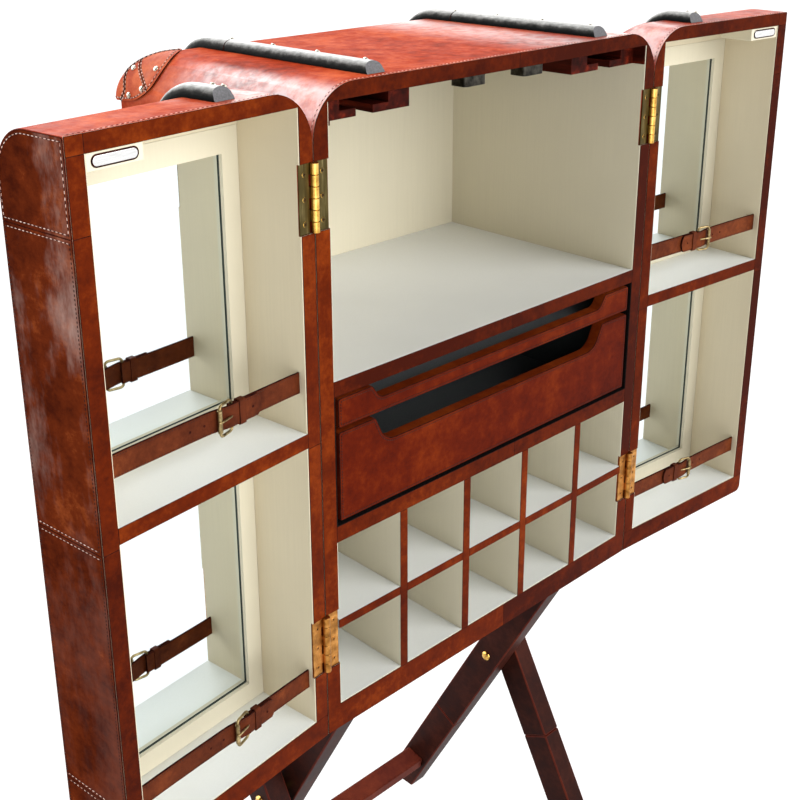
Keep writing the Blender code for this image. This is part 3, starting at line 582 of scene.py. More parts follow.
class Stitching:
    """Rows of sewn stitches, gathered into one mesh."""

    SIDES = 5

    def __init__(self):
        self.points = []
        self.faces = []
        self.dark = []

    def sewn(self, path, out, thick=0.00042):
        """A seam in pale thread: stitches, and dark dashes between them that paint the shade of the holes the awl left.
        """
        self.row(path, out, 0.0056, 0.0031, thick)
        return self.row(path, out, 0.0056, 0.0027, thick * 0.95, 0.0, True)

    def row(self, path, out, pitch, length, thick, start=0.5, dark=False):
        """Sews along points. out is the way the sewn surface faces, or one such way for each point."""
        first = len(self.faces)
        outs = out if isinstance(out, list) else [Vector(out)] * len(path)
        done = pitch * start
        walked = 0.0
        for (a, out_a), (b, out_b) in zip(zip(path, outs), zip(path[1:], outs[1:])):
            a, b = Vector(a), Vector(b)
            span = (b - a).length
            while span and done <= walked + span:
                share = (done - walked) / span
                along = (b - a) / span
                up = (Vector(out_a).lerp(Vector(out_b), share)).normalized()
                self.stitch(a.lerp(b, share), along, up, length, thick)
                done += pitch
            walked += span
        if dark:
            self.dark += range(first, len(self.faces))
        return self

    def stitch(self, centre, along, up, length, thick):
        across = up.cross(along)
        base = len(self.points)
        rings = ((-0.36, 0.75), (0.0, 1.0), (0.36, 0.75))
        self.points.append(centre - along * length / 2 - up * thick * 0.3)
        for reach, swell in rings:
            for k in range(self.SIDES):
                angle = 2 * math.pi * k / self.SIDES
                self.points.append(
                    centre
                    + along * (length * reach)
                    + across * (math.cos(angle) * thick * swell)
                    + up * ((math.sin(angle) * 0.8 + 0.25) * thick * swell)
                )
        self.points.append(centre + along * length / 2 - up * thick * 0.3)
        last = base + 1 + len(rings) * self.SIDES
        for k in range(self.SIDES):
            after = (k + 1) % self.SIDES
            self.faces.append((base, base + 1 + k, base + 1 + after))
            for ring in range(len(rings) - 1):
                row = base + 1 + ring * self.SIDES
                nxt = row + self.SIDES
                self.faces.append((row + k, nxt + k, nxt + after, row + after))
            row = last - self.SIDES
            self.faces.append((row + after, row + k, last))

    def mesh(self):
        made = bpy.data.meshes.new("stitches")
        made.from_pydata([tuple(p) for p in self.points], [], self.faces)
        for index in self.dark:
            made.polygons[index].material_index = 1
        shape = bmesh.new()
        shape.from_mesh(made)
        bmesh.ops.recalc_face_normals(shape, faces=shape.faces)
        shape.to_mesh(made)
        shape.free()
        return made


def walked(corners, radii, closed=False):
    """An outline's points with the way that leads out of it at each, for a row sewn round a form."""
    path = rounded_path(corners, radii, closed)
    outs = []
    for index, point in enumerate(path):
        before = path[max(index - 1, 0)]
        after = path[min(index + 1, len(path) - 1)]
        along = (after - before).normalized()
        outs.append(Vector((-along.y, along.x)))
    return path, outs


half_w = WIDTH / 2
over, over_out = walked(
    [(-half_w, 0.004), (-half_w, HEIGHT), (half_w, HEIGHT), (half_w, 0.004)], [0, EDGE_R, EDGE_R, 0]
)
case_stitches = Stitching().sewn(
    [Vector((p.x, STITCH_IN, p.y)) for p in over], [Vector((n.x, 0, n.y)) for n in over_out]
)
back_seam = rounded_path([(-0.262, 0.022), (0.262, 0.022), (0.262, 0.672), (-0.262, 0.672)], [0.02] * 4)
back_seam.append(back_seam[0])
case_stitches.sewn([Vector((p.x, DEPTH, p.y)) for p in back_seam], (0, 1, 0), 0.0006)
for side in (-1, 1):
    side_seam = [(0.012, 0.012), (0.330, 0.012), (0.330, 0.690)]
    case_stitches.sewn([Vector((side * half_w, y, z)) for y, z in side_seam], (side, 0, 0), 0.0006)
piece("case_stitches", case_stitches.mesh(), TRUNK, "trunk", (), [THREAD_PALE, DARK_THREAD_AND_HOLE_SHADE], 0)

# Corner caps. Thick hide, wetted and moulded over the two back top corners, is cut in three petals that
# are sewn together and round the edge, and held by nickelled studs.
CAP_OUT = 0.0025  # outer face of a cap from the case
CAP_SECTORS = 24
CAP_EDGE = [  # ways from the middle of the roundings to one half of a cap's edge: side, back, up
    (0.6, 0.4, 58.2), (5.1, -4.1, 58.2), (21.0, -14.0, 54.0), (37.5, -20.1, 44.7), (50.1, -18.1, 30.1),
    (55.8, -8.1, 17.1), (58.3, 15.9, 4.1), (58.4, 45.9, -0.2), (55.0, 55.0, -0.6),
]
PETAL_SEAM = [(35.1, 31.9, 46.6), (44.1, 21.9, 38.3), (51.6, 5.9, 27.4), (55.6, -6.6, 17.6)]
BACK_SEAM = [(3.0, 1.0, 58.0), (35.1, 33.9, 46.6), (47.8, 43.9, 33.5), (56.9, 38.0, 13.1), (58.2, 45.0, 0.4)]
STUDS = [(42.0, -8.1, 40.6), (44.7, 33.9, 37.5), (55.5, 3.9, 18.0), (57.8, 27.9, 8.1)]
# The caps' hide takes some painted pale sheen.
CAP_HIDE = leather("cap_hide", (0.160, 0.015, 0.004), (0.360, 0.045, 0.010), (0.620, 0.150, 0.050), 0.42, 0.30, 0.04)
NAIL = Finish("nickelled_nail", Metallic=1.0)
tarnish = NAIL.noise(260.0, 3.0, 0.6)
NAIL.set(
    Base_Color=NAIL.ramp(tarnish, (0.35, (0.40, 0.36, 0.28)), (0.70, (0.72, 0.68, 0.58))), Roughness=0.22 + tarnish * 0.2
)
NAIL = NAIL.material


def domes(places, radius=0.0035, height=0.55):
    """Domed nail heads, each at a (place, way it faces)."""
    shape = bmesh.new()
    for place, out in places:
        out = Vector(out).normalized()
        turn = out.to_track_quat("Z", "Y").to_matrix().to_4x4()
        matrix = Matrix.Translation(place) @ turn @ Matrix.Diagonal((1, 1, height, 1))
        bmesh.ops.create_uvsphere(shape, u_segments=16, v_segments=10, radius=radius, matrix=matrix)
    mesh = bpy.data.meshes.new("nails")
    shape.to_mesh(mesh)
    shape.free()
    return mesh


def tube(points, radius, closed=False):
    """A drawn wire or cord along points."""
    curve = bpy.data.curves.new("wire", "CURVE")
    curve.dimensions = "3D"
    curve.bevel_depth = radius
    curve.bevel_resolution = 3
    curve.use_fill_caps = True
    spline = curve.splines.new("POLY")
    spline.points.add(len(points) - 1)
    for target, point in zip(spline.points, points):
        target.co = (*point, 1)
    spline.use_cyclic_u = closed
    holder = bpy.data.objects.new("wire", curve)
    bpy.context.scene.collection.objects.link(holder)
    bpy.context.view_layer.update()
    mesh = bpy.data.meshes.new_from_object(holder.evaluated_get(bpy.context.evaluated_depsgraph_get()))
    bpy.data.objects.remove(holder, do_unlink=True)
    mesh.materials.clear()
    return mesh


def smooth_run(points, step=0.004):
    """Evenly spaced points on a soft curve through a few."""
    points = [Vector(p) for p in points]
    run = []
    for index in range(len(points) - 1):
        p0, p1, p2, p3 = (points[min(max(index + k, 0), len(points) - 1)] for k in (-1, 0, 1, 2))
        parts = max(2, round((p2 - p1).length / step))
        for part in range(parts):
            t = part / parts
            run.append(
                0.5 * (2 * p1 + (p2 - p0) * t + (2 * p0 - 5 * p1 + 4 * p2 - p3) * t * t + (3 * p1 - p0 - 3 * p2 + p3) * t ** 3)
            )
    return run + [points[-1]]


def on_cap(side, way, out):
    """Where a way from the middle of the roundings meets the cap's face, and how that face is turned."""
    a, b, c = Vector(way).normalized()
    turned_side = Vector((max(a, 0), 0, max(c, 0)))
    turned_back = Vector((0, max(b, 0), max(c, 0)))
    sharp = 40  # how sharply the moulded hide follows the mitre
    shares = turned_side.length ** sharp, turned_back.length ** sharp
    reach = (EDGE_R + out) / sum(shares) ** (1 / sharp)
    facing = (turned_side.normalized() * shares[0] + turned_back.normalized() * shares[1]).normalized()
    place = (side * (WIDTH / 2 - EDGE_R + a * reach), DEPTH - EDGE_R + b * reach, HEIGHT - EDGE_R + c * reach)
    return Vector(place), Vector((side * facing.x, facing.y, facing.z))


for name, side in (("left", -1), ("right", 1)):
    half = smooth_run([Vector(way) for way in CAP_EDGE], 2.0)
    edge = half + [Vector((way.y, way.x, way.z)) for way in reversed(half[1:-1])]
    crown = Vector((1, 1, 1)).normalized()
    shape = bmesh.new()
    layers = []
    for out, rings in ((CAP_OUT, CAP_SECTORS), (0.0002, CAP_SECTORS)):
        grid = []
        for ring in range(1, rings + 1):
            share = ring / rings
            lift = out - (0.0006 if out == CAP_OUT and ring == rings else 0.0)
            row = [on_cap(side, crown.slerp(way.normalized(), share * 0.995 if lift == out else share), lift)[0] for way in edge]
            grid.append([shape.verts.new(place) for place in row])
        middle = shape.verts.new(on_cap(side, crown, out)[0])
        for k in range(len(edge)):
            shape.faces.new((middle, grid[0][k - 1], grid[0][k]))
            for first, second in zip(grid, grid[1:]):
                shape.faces.new((first[k - 1], second[k - 1], second[k], first[k]))
        layers.append(grid[-1])
    for k in range(len(edge)):
        shape.faces.new((layers[0][k - 1], layers[1][k - 1], layers[1][k], layers[0][k])).material_index = 1
    bmesh.ops.recalc_face_normals(shape, faces=shape.faces)
    mesh = bpy.data.meshes.new("cap")
    shape.to_mesh(mesh)
    shape.free()
    piece(f"{name}_cap_hide", mesh, TRUNK, "trunk", [f"corner_cap_{name}"], [CAP_HIDE, DARK_EDGE_AND_SHADE])

    sewing = Stitching()
    around = [on_cap(side, crown.slerp(way.normalized(), 0.93), CAP_OUT) for way in edge]
    sewing.sewn([place for place, _ in around], [facing for _, facing in around], 0.0007)
    cords = []
    for seam, mirrored in ((PETAL_SEAM, False), (PETAL_SEAM, True), (BACK_SEAM, False)):
        ways = [Vector((w[1], w[0], w[2]) if mirrored else w) for w in seam]
        run = [on_cap(side, way, CAP_OUT) for way in smooth_run(ways, 1.5)]
        cords.append((tube([place for place, _ in run], 0.0006), Matrix(), 0.0))
        for offset in (-0.0019, 0.0019):
            row = []
            for index, (place, facing) in enumerate(run):
                after, before = run[min(index + 1, len(run) - 1)][0], run[max(index - 1, 0)][0]
                row.append(place + facing.cross((after - before).normalized()) * offset)
            sewing.sewn(row, [facing for _, facing in run], 0.0007)
    piece(f"{name}_cap_seams", gather(cords), TRUNK, "trunk", (), [DARK_EDGE_AND_SHADE])
    piece(f"{name}_cap_stitches", sewing.mesh(), TRUNK, "trunk", (), [THREAD_PALE, DARK_THREAD_AND_HOLE_SHADE], 0)
    studs = [on_cap(side, way, CAP_OUT) for way in STUDS] + [on_cap(side, (w[1], w[0], w[2]), CAP_OUT) for w in STUDS]
    piece(f"{name}_cap_studs", domes(studs, 0.0036, 0.6), TRUNK, "trunk", (), [NAIL])

# Doors. Each is a box of the same make as the case, hung on its hinge pins, with the same facing strips
# on its front edges and D-shaped panels of darker hide on its free side, sewn where they meet.
DOOR_W = 0.2885
DOOR_D = 0.0986
DOOR_SIDE_T = 0.0197
DOOR_TOP_T = 0.0172
DOOR_FLOOR = 0.0298
DOOR_FACE_R = 0.046
DOOR_BACK_R = 0.030
DOOR_FOOT_R = 0.009
DOOR_HOLLOW_R = 0.0258
FRAME_V = (0.0849, 0.0909)
DOOR_SHELF_Z = (0.3798, 0.3971)
SIDES = {"left": (-1, 0.1106), "right": (1, -0.0756)}
PANEL_SEAMS = (0.082, 0.376, 0.674)
PANEL_T = 0.0008
# The side panels take a strong painted pale sheen.
SIDE_PANEL = leather(
    "side_panel_hide", (0.045, 0.007, 0.003), (0.110, 0.018, 0.005), (0.300, 0.070, 0.018), 0.42, 0.70, 0.0
)
DOOR_HIDE = {
    "left": leather("left_door_hide", *HIDE_COLOURS, 0.34, 0.0, 0.0, (-0.16, -0.06, 0.12, 0.055, 0.085)),
    "right": leather("right_door_hide", *HIDE_COLOURS, 0.34, 0.0, 0.0, (0.12, 0.04, 0.30, 0.055, 0.085)),
}
door_frames = {}
for name, (side, turn) in SIDES.items():
    door_frames[name] = (
        TRUNK @ Matrix.Translation((side * (WIDTH / 2 + PIN_OUT), -PIN_Y, 0)) @ Matrix.Rotation(turn, 4, "Z")
    )


def to_door(side):
    """Turns places given as (u from the hinge side, v behind the front, z) into the door's own frame."""
    return Matrix(((side, 0, 0, side * PIN_OUT), (0, 1, 0, PIN_Y), (0, 0, 1, 0), (0, 0, 0, 1)))


for name, (side, turn) in SIDES.items():
    inward = to_door(side)
    body = f"{name}_door"

    def door_edges(middle):
        at_hinge = middle.x < -0.01
        at_free = middle.x > 0.01
        at_face = middle.y > 0.01
        if middle.z > 0.01:
            if at_face and not at_hinge and not at_free:
                return DOOR_FACE_R
            return EDGE_R if at_hinge and abs(middle.y) < 0.01 else 0.0
        if middle.z > -0.01:
            return DOOR_BACK_R if at_hinge and at_face else 0.0
        return DOOR_FOOT_R if at_free and abs(middle.y) < 0.01 else 0.0

    ceiling = HEIGHT - DOOR_TOP_T
    box = shaped_box((0, 0, 0), (DOOR_W, DOOR_D, HEIGHT), door_edges)
    hollow = shaped_box(
        (DOOR_SIDE_T, -0.02, DOOR_FLOOR), (DOOR_W - DOOR_SIDE_T, FRAME_V[0], ceiling), back_top(DOOR_HOLLOW_R)
    )
    recess = shaped_box((DOOR_SIDE_T, 0.05, DOOR_FLOOR), (DOOR_W - DOOR_SIDE_T, 0.0942, 0.7170))
    seats_in_door = hinge_seats(-PIN_OUT, (-OVER, DOOR_SIDE_T + OVER))
    mesh = settle(box, [hollow, recess, *seats_in_door], WRAP_EDGE)
    line_the_hollow(mesh, DOOR_W / 2 - DOOR_SIDE_T, 0.0942, DOOR_FLOOR, ceiling, DOOR_W / 2)
    mesh.transform(inward)
    if side < 0:
        mesh.flip_normals()
    piece(
        f"{name}_door_wrap", mesh, door_frames[name], body, [f"{name}_door_box"],
        [DOOR_HIDE[name], SHADED_DOOR_CREAM, WHITE, DARK_EDGE_AND_SHADE],
    )

    # Facing strips: the free side's in sections, the top one running on down the hinge side
    facings = []
    free = DOOR_W - FACING_INSET
    free_inner = DOOR_W - DOOR_SIDE_T + LINING_EDGE
    hinge_inner = DOOR_SIDE_T - LINING_EDGE
    low = DOOR_FLOOR - LINING_EDGE
    high = HEIGHT - FACING_INSET
    top_inner = ceiling
    mid = 0.3790
    runs = [
        ([(free_inner, high), (FACING_INSET, high), (FACING_INSET, seats[1][1]), (hinge_inner, seats[1][1]),
          (hinge_inner, top_inner), (free_inner, top_inner)],
         [0, EDGE_R - FACING_INSET, 0, 0, 0, 0], 0.0),
        ([(FACING_INSET, low), (FACING_INSET, FACING_INSET), (free, FACING_INSET), (free, low)],
         [0, 0.001, DOOR_FOOT_R, 0], -0.01),
        ([(free_inner, top_inner), (free, top_inner), (free, high), (free_inner, high)], [0, 0, 0.001, 0], 0.05),
        ([(hinge_inner, DOOR_SHELF_Z[0] + BARE), (free_inner, DOOR_SHELF_Z[0] + BARE),
          (free_inner, DOOR_SHELF_Z[1] - BARE), (hinge_inner, DOOR_SHELF_Z[1] - BARE)], [0] * 4, 0.01),
    ]
    stops = [low, 0.0820, 0.3760, 0.6740, top_inner]
    for number in range(4):
        a, b = stops[number], stops[number + 1]
        tone = (-0.06, -0.10, -0.06, -0.03)[number]
        runs.append(([(free_inner, a), (free, a), (free, b), (free_inner, b)], [0] * 4, tone))
    for tone, a, b in ((0.0, mid, seats[1][0]), (0.03, seats[0][1], mid), (0.02, low, seats[0][0])):
        runs.append(([(FACING_INSET, b), (FACING_INSET, a), (hinge_inner, a), (hinge_inner, b)], [0] * 4, tone))
    for corners, radii, tone in runs:
        tone -= 0.025 + 0.025 * side
        facings.append((cut_hide([rounded_path(corners, radii)], FACING_T, 0.0004), inward @ FRONT, tone))
    piece(
        f"{name}_door_front_strips", gather(facings), door_frames[name], body, (),
        [STRIP, DARK_EDGE_AND_SHADE],
    )

    # Panels on the free side, one over each length between seams
    on_side = Matrix(((0, 0, 1, DOOR_W), (1, 0, 0, 0), (0, 1, 0, 0), (0, 0, 0, 1)))
    panels = []
    rows = Stitching()
    stops = (DOOR_FOOT_R * 0.3, *PANEL_SEAMS, HEIGHT - 0.0006)
    for number in range(4):
        low, high = stops[number] + 0.0002, stops[number + 1] - 0.0002
        top = number == 3
        face_r = DOOR_FACE_R - 0.0008 if top else 0.0
        corners = [(0.0006, low), (0.0006, high), (DOOR_D - 0.0006, high), (DOOR_D - 0.0006, low)]
        outline = rounded_path(corners, [0, 0.002 if top else 0, face_r, 0])
        panels.append(
            (cut_hide([outline], PANEL_T, 0.0004), inward @ on_side, (-0.10, -0.06, -0.02, -0.02)[number])
        )
        inset = STITCH_IN
        inner = [(inset, low + inset), (inset, high - inset), (DOOR_D - inset, high - inset), (DOOR_D - inset, low + inset)]
        path = rounded_path(inner, [0, 0, max(face_r - inset, 0), 0])
        path.append(path[0])
        sewn = [inward @ Vector((DOOR_W + PANEL_T, p.x, p.y)) for p in path]
        if top:
            rows.sewn(sewn, (side, 0, 0), 0.0005)
        else:
            rows.sewn(sewn[1:3], (side, 0, 0), 0.0005).sewn(sewn[3:5], (side, 0, 0), 0.0005)
            for upright in (sewn[0:2], sewn[2:4]):
                rows.row(upright, (side, 0, 0), 0.0040, 0.0027, 0.0005, 0.5, True)
    piece(
        f"{name}_side_panels", gather(panels), door_frames[name], body, (), [SIDE_PANEL, DARK_EDGE_AND_SHADE]
    )
    piece(f"{name}_side_stitches", rows.mesh(), door_frames[name], body, (), [THREAD_PALE, DARK_THREAD_AND_HOLE_SHADE], 0)

    # Stitching behind the front edge, up the hinge side and over the top
    path, outs = walked([(0, 0.004), (0, HEIGHT), (DOOR_W - 0.002, HEIGHT)], [0, EDGE_R, 0])
    rows = Stitching().sewn(
        [inward @ Vector((p.x, STITCH_IN, p.y)) for p in path],
        [Vector((side * n.x, 0, n.y)) for n in outs],
    )
    face_seam = rounded_path([(0.040, 0.018), (0.276, 0.018), (0.276, 0.700), (0.040, 0.700)], [0.016] * 4)
    face_seam.append(face_seam[0])
    rows.sewn([inward @ Vector((p.x, DOOR_D, p.y)) for p in face_seam], (0, 1, 0), 0.0006)
    piece(f"{name}_door_stitches", rows.mesh(), door_frames[name], body, (), [THREAD_PALE, DARK_THREAD_AND_HOLE_SHADE], 0)

# Fittings inside the doors: the cream mirror frame and the silvered mirror behind it, the white shelf,
# and the cream block whose polished steel plate meets the trunk's magnetic catch.
MIRROR = Finish("mirror_glass", Metallic=1.0)
MIRROR.set(Base_Color=(0.88, 0.94, 0.95), Roughness=MIRROR.noise(3.0).band(0.3, 0.8) * 0.02 + 0.01)
MIRROR = MIRROR.material
MIRROR_EDGE_SHADE = Finish("painted_mirror_edge_shade", Roughness=0.3, Specular_IOR_Level=0.1)
MIRROR_EDGE_SHADE.set(Base_Color=MIRROR_EDGE_SHADE.ramp(MIRROR_EDGE_SHADE.noise(60.0), (0.3, (0.010, 0.020, 0.018)), (0.7, (0.030, 0.052, 0.048))))
MIRROR_EDGE_SHADE = MIRROR_EDGE_SHADE.material
WINDOW_U = (0.0420, 0.2465)
WINDOWS_Z = ((0.0550, 0.3560), (0.4195, 0.6900))
STEEL = Finish("polished_steel", Metallic=1.0)
brushed = STEEL.noise(1.0, 4.0, 0.6, STEEL.stretched(60.0, 60.0, 900.0))
STEEL.set(
    Base_Color=STEEL.ramp(brushed, (0.3, (0.72, 0.72, 0.71)), (0.7, (0.90, 0.90, 0.89))),
    Roughness=0.06 + brushed * 0.12,
)
STEEL = STEEL.material
for name, (side, turn) in SIDES.items():
    dress(f"{name}_mirror_frame", CREAM, 0.0008)
    dress(f"{name}_mirror", MIRROR, 0.0)
    dress(f"{name}_door_shelf", WHITE)
    dress(f"{name}_strike_block", CREAM, 0.0)
    inward = to_door(side)
    # Dark teal lines round each window, where the frame meets the mirror, paint the shade in that corner.
    edge_shades = []
    for low, high in WINDOWS_Z:
        corners = [(WINDOW_U[0], low), (WINDOW_U[1], low), (WINDOW_U[1], high), (WINDOW_U[0], high)]
        edge_shades.append((tube([inward @ Vector((u, FRAME_V[1] - 0.0006, z)) for u, z in corners], 0.0006, True), Matrix(), 0.0))
    piece(f"{name}_mirror_edge_shades", gather(edge_shades), door_frames[name], f"{name}_door", (), [MIRROR_EDGE_SHADE])
    plates = []
    # The larger dark stadium behind the steel plate paints the shade of the recess the plate sits in.
    for length, height, inset, shift in ((0.0500, 0.0118, 0.0003, 0.0), (0.0470, 0.0090, 0.0004, 0.0002)):
        middle_u, middle_z = 0.2385, 0.7349
        half_l, half_h = length / 2, height / 2
        corners = [(middle_u - half_l, middle_z - half_h), (middle_u + half_l, middle_z - half_h),
                   (middle_u + half_l, middle_z + half_h), (middle_u - half_l, middle_z + half_h)]
        outline = rounded_path(corners, [half_h * 0.98] * 4, step=0.0006)
        mesh = cut_hide([outline], 0.0008, inset)
        for face in mesh.polygons:
            face.material_index = 1 if shift == 0.0 else 0
        plates.append((mesh, inward @ Matrix.Translation((0, 0.0003 - shift, 0)) @ FRONT, 0.0))
    piece(
        f"{name}_strike_plate", gather(plates), door_frames[name], f"{name}_door", (),
        [STEEL, DARK_EDGE_AND_SHADE],
    )

# Drawers. Board fronts wrapped in hide with a shallow and a deep finger cut, sewn in dark thread along
# the whole edge, on trays lined in charcoal felt. They slide on hidden wooden runners.
DRAWER_HALF = 0.2635
DRAWER_T = 0.0155
DRAWERS = {
    "upper": ((0.3865, 0.4210), 0.0170, 0.2125, 0.2010),
    "lower": ((0.2727, 0.3810), 0.0330, 0.2085, 0.1930),
}
DRAWER_HIDE = leather(
    "drawer_hide", (0.038, 0.003, 0.001), (0.080, 0.007, 0.001), (0.160, 0.021, 0.002), 0.32, 0.0, 0.02
)
LIT_LIP_HIDE = leather("drawer_lip_hide_painted_light", (0.070, 0.008, 0.002), (0.150, 0.020, 0.003), (0.260, 0.046, 0.007), 0.36, 0.0, 0.02)
CHARCOAL = Finish("charcoal_felt", Roughness=0.85, Sheen_Weight=0.2)
fibres = CHARCOAL.noise(900.0, 3.0, 0.7)
CHARCOAL.set(Base_Color=CHARCOAL.ramp(fibres, (0.3, (0.034, 0.042, 0.042)), (0.7, (0.070, 0.082, 0.082))))
CHARCOAL.relief(fibres, 0.3, 0.0004)
CHARCOAL = CHARCOAL.material


def drawer_outline(front_z, cut, cut_top, cut_bottom, inset=0.0):
    low, high = front_z[0] + inset, front_z[1] - inset
    half = DRAWER_HALF - inset
    slope = inset * 0.8
    corners = [
        (-half, low), (half, low), (half, high), (cut_top + slope, high), (cut_bottom + slope, high - cut),
        (-cut_bottom - slope, high - cut), (-cut_top - slope, high), (-half, high),
    ]
    corner_r = 0.75 * cut
    radii = [0.002, 0.002, 0.003, 0.004, corner_r + inset, corner_r + inset, 0.004, 0.003]
    return rounded_path(corners, radii)


# Near-black sheets over the drawer bay's floor, ceiling and sides paint the deep shade inside it; felt is their
# thickness.
bay_low, bay_high = CUBBY_TOP_Z[1], BAR_SHELF_Z[0]
felt = 0.0004
bay = []
for low, high in (
    ((-rim_inner_x, -0.0007, bay_low - 0.001), (rim_inner_x, BACK_Y - 0.001, bay_low + felt)),
    ((-INNER_X, 0.0005, bay_high - felt), (INNER_X, BACK_Y - 0.001, bay_high)),
    ((-rim_inner_x, -0.0007, bay_low), (-INNER_X + felt, BACK_Y - 0.001, bay_high)),
    ((INNER_X - felt, -0.0007, bay_low), (rim_inner_x, BACK_Y - 0.001, bay_high)),
):
    bay.append((settle(shaped_box(low, high)), Matrix(), 0.0))
BAY_SHADE = Finish("painted_bay_shade", Roughness=0.95, Specular_IOR_Level=0.0)
BAY_SHADE.set(Base_Color=BAY_SHADE.ramp(BAY_SHADE.noise(600.0), (0.3, (0.004, 0.003, 0.003)), (0.7, (0.012, 0.010, 0.009))))
piece("drawer_bay_shade", gather(bay), TRUNK, "trunk", (), [BAY_SHADE.material])

for name, sizes in DRAWERS.items():
    board = cut_hide([drawer_outline(*sizes)], DRAWER_T, 0.0009, 0)
    # Up-facing edges, the finger cuts' lips among them, take a paler copy of the drawer hide as painted light.
    for face in board.polygons:
        if face.material_index == 0 and face.normal.y > 0.3:
            face.material_index = 2
    front = Matrix.Translation((0, DRAWER_T, 0)) @ FRONT
    piece(
        f"{name}_drawer_face", gather([(board, front, 0.0)]), TRUNK, f"{name}_drawer",
        [f"{name}_drawer_front"], [DRAWER_HIDE, DARK_EDGE_AND_SHADE, LIT_LIP_HIDE],
    )
    path = drawer_outline(*sizes, 0.0032)
    path.append(path[0])
    rows = Stitching().row([Vector((p.x, 0.0, p.y)) for p in path], (0, -1, 0), 0.0036, 0.0027, 0.0007)
    piece(f"{name}_drawer_stitches", rows.mesh(), TRUNK, f"{name}_drawer", (), [DARK_THREAD_AND_HOLE_SHADE], 0)
    dress(f"{name}_drawer_tray", CHARCOAL)

# Stemware racks, drawer runners and magnetic catches. The racks and runners are stained, oiled hardwood.
# The catches are small bronzed boxes screwed up under the ceiling's front.
RACK = Finish("stained_hardwood", Roughness=0.42, Specular_IOR_Level=0.03)
figure = RACK.noise(1.0, 5.0, 0.6, RACK.stretched(60.0, 6.0, 60.0))
RACK.set(
    Base_Color=RACK.ramp(figure, (0.34, (0.012, 0.002, 0.001)), (0.52, (0.036, 0.004, 0.002)), (0.68, (0.120, 0.012, 0.004)))
)
RACK.relief(figure, 0.12, 0.0004)
RACK = RACK.material
BRONZED = Finish("bronzed_steel", Metallic=1.0)
worn = BRONZED.noise(140.0, 4.0, 0.6)
BRONZED.set(
    Base_Color=BRONZED.ramp(worn, (0.35, (0.012, 0.011, 0.009)), (0.70, (0.060, 0.054, 0.044))),
    Roughness=0.25 + worn * 0.2,
)
BRONZED = BRONZED.material
for side in ("left", "right"):
    dress(f"stemware_rack_{side}", RACK, 0.0006)
    dress(f"drawer_runner_{side}", RACK)
    dress(f"catch_{side}", BRONZED, 0.0)

# Battens. Half-round bars wrapped in black leather run over the tops of the case and doors and down the
# back, cut on a slant at the front, with a joint where the bend starts and nails along one flank.
BATTEN_X = 0.191
BATTEN_W = 0.025
BATTEN_H = 0.0125
BATTEN_START = 0.013
BATTEN_DROP = 0.075
DOOR_BATTEN_U = 0.100
JOINT_FROM_BEND = 0.040
BATTEN = Finish("black_batten_leather", Coat_Roughness=0.34, Coat_IOR=1.6, Specular_IOR_Level=0.02)
wrinkle = BATTEN.noise(1.0, 6.0, 0.65, BATTEN.stretched(260.0, 110.0, 110.0))
# Painted light: the colour pales up to the crown as a painted highlight and darkens down the flanks as painted shade.
painted_sheen_crown = BATTEN.tone("crown")
BATTEN.set(
    Base_Color=BATTEN.ramp(
        wrinkle * 0.4 + painted_sheen_crown * 0.6,
        (0.38, (0.004, 0.005, 0.005)), (0.52, (0.026, 0.028, 0.026)), (0.66, (0.150, 0.152, 0.143)), (0.80, (0.340, 0.340, 0.323)),
    ),
    Roughness=0.34 + wrinkle * 0.22,
    Coat_Weight=(painted_sheen_crown * 0.7 + wrinkle * 0.3).band(0.44, 0.88) * 0.50,
)
BATTEN.relief(wrinkle, 0.5, 0.0010)
BATTEN = BATTEN.material
BATTEN_END = Finish("batten_end", Roughness=0.6)
BATTEN_END.set(
    Base_Color=BATTEN_END.ramp(BATTEN_END.noise(500.0, 4.0, 0.7), (0.3, (0.060, 0.060, 0.064)), (0.7, (0.150, 0.150, 0.158)))
)
BATTEN_END = BATTEN_END.material
def batten_profile():
    """Half-round section, as (across, height) points."""
    half = BATTEN_W / 2
    points = [(-half, 0.0), (-half, 0.0030)]
    for step in range(11):
        angle = math.pi * (1 - step / 10)
        points.append((half * 0.96 * math.cos(angle), 0.0035 + (BATTEN_H - 0.0035) * math.sin(angle) ** 0.85))
    points += [(half, 0.0030), (half, 0.0)]
    return points


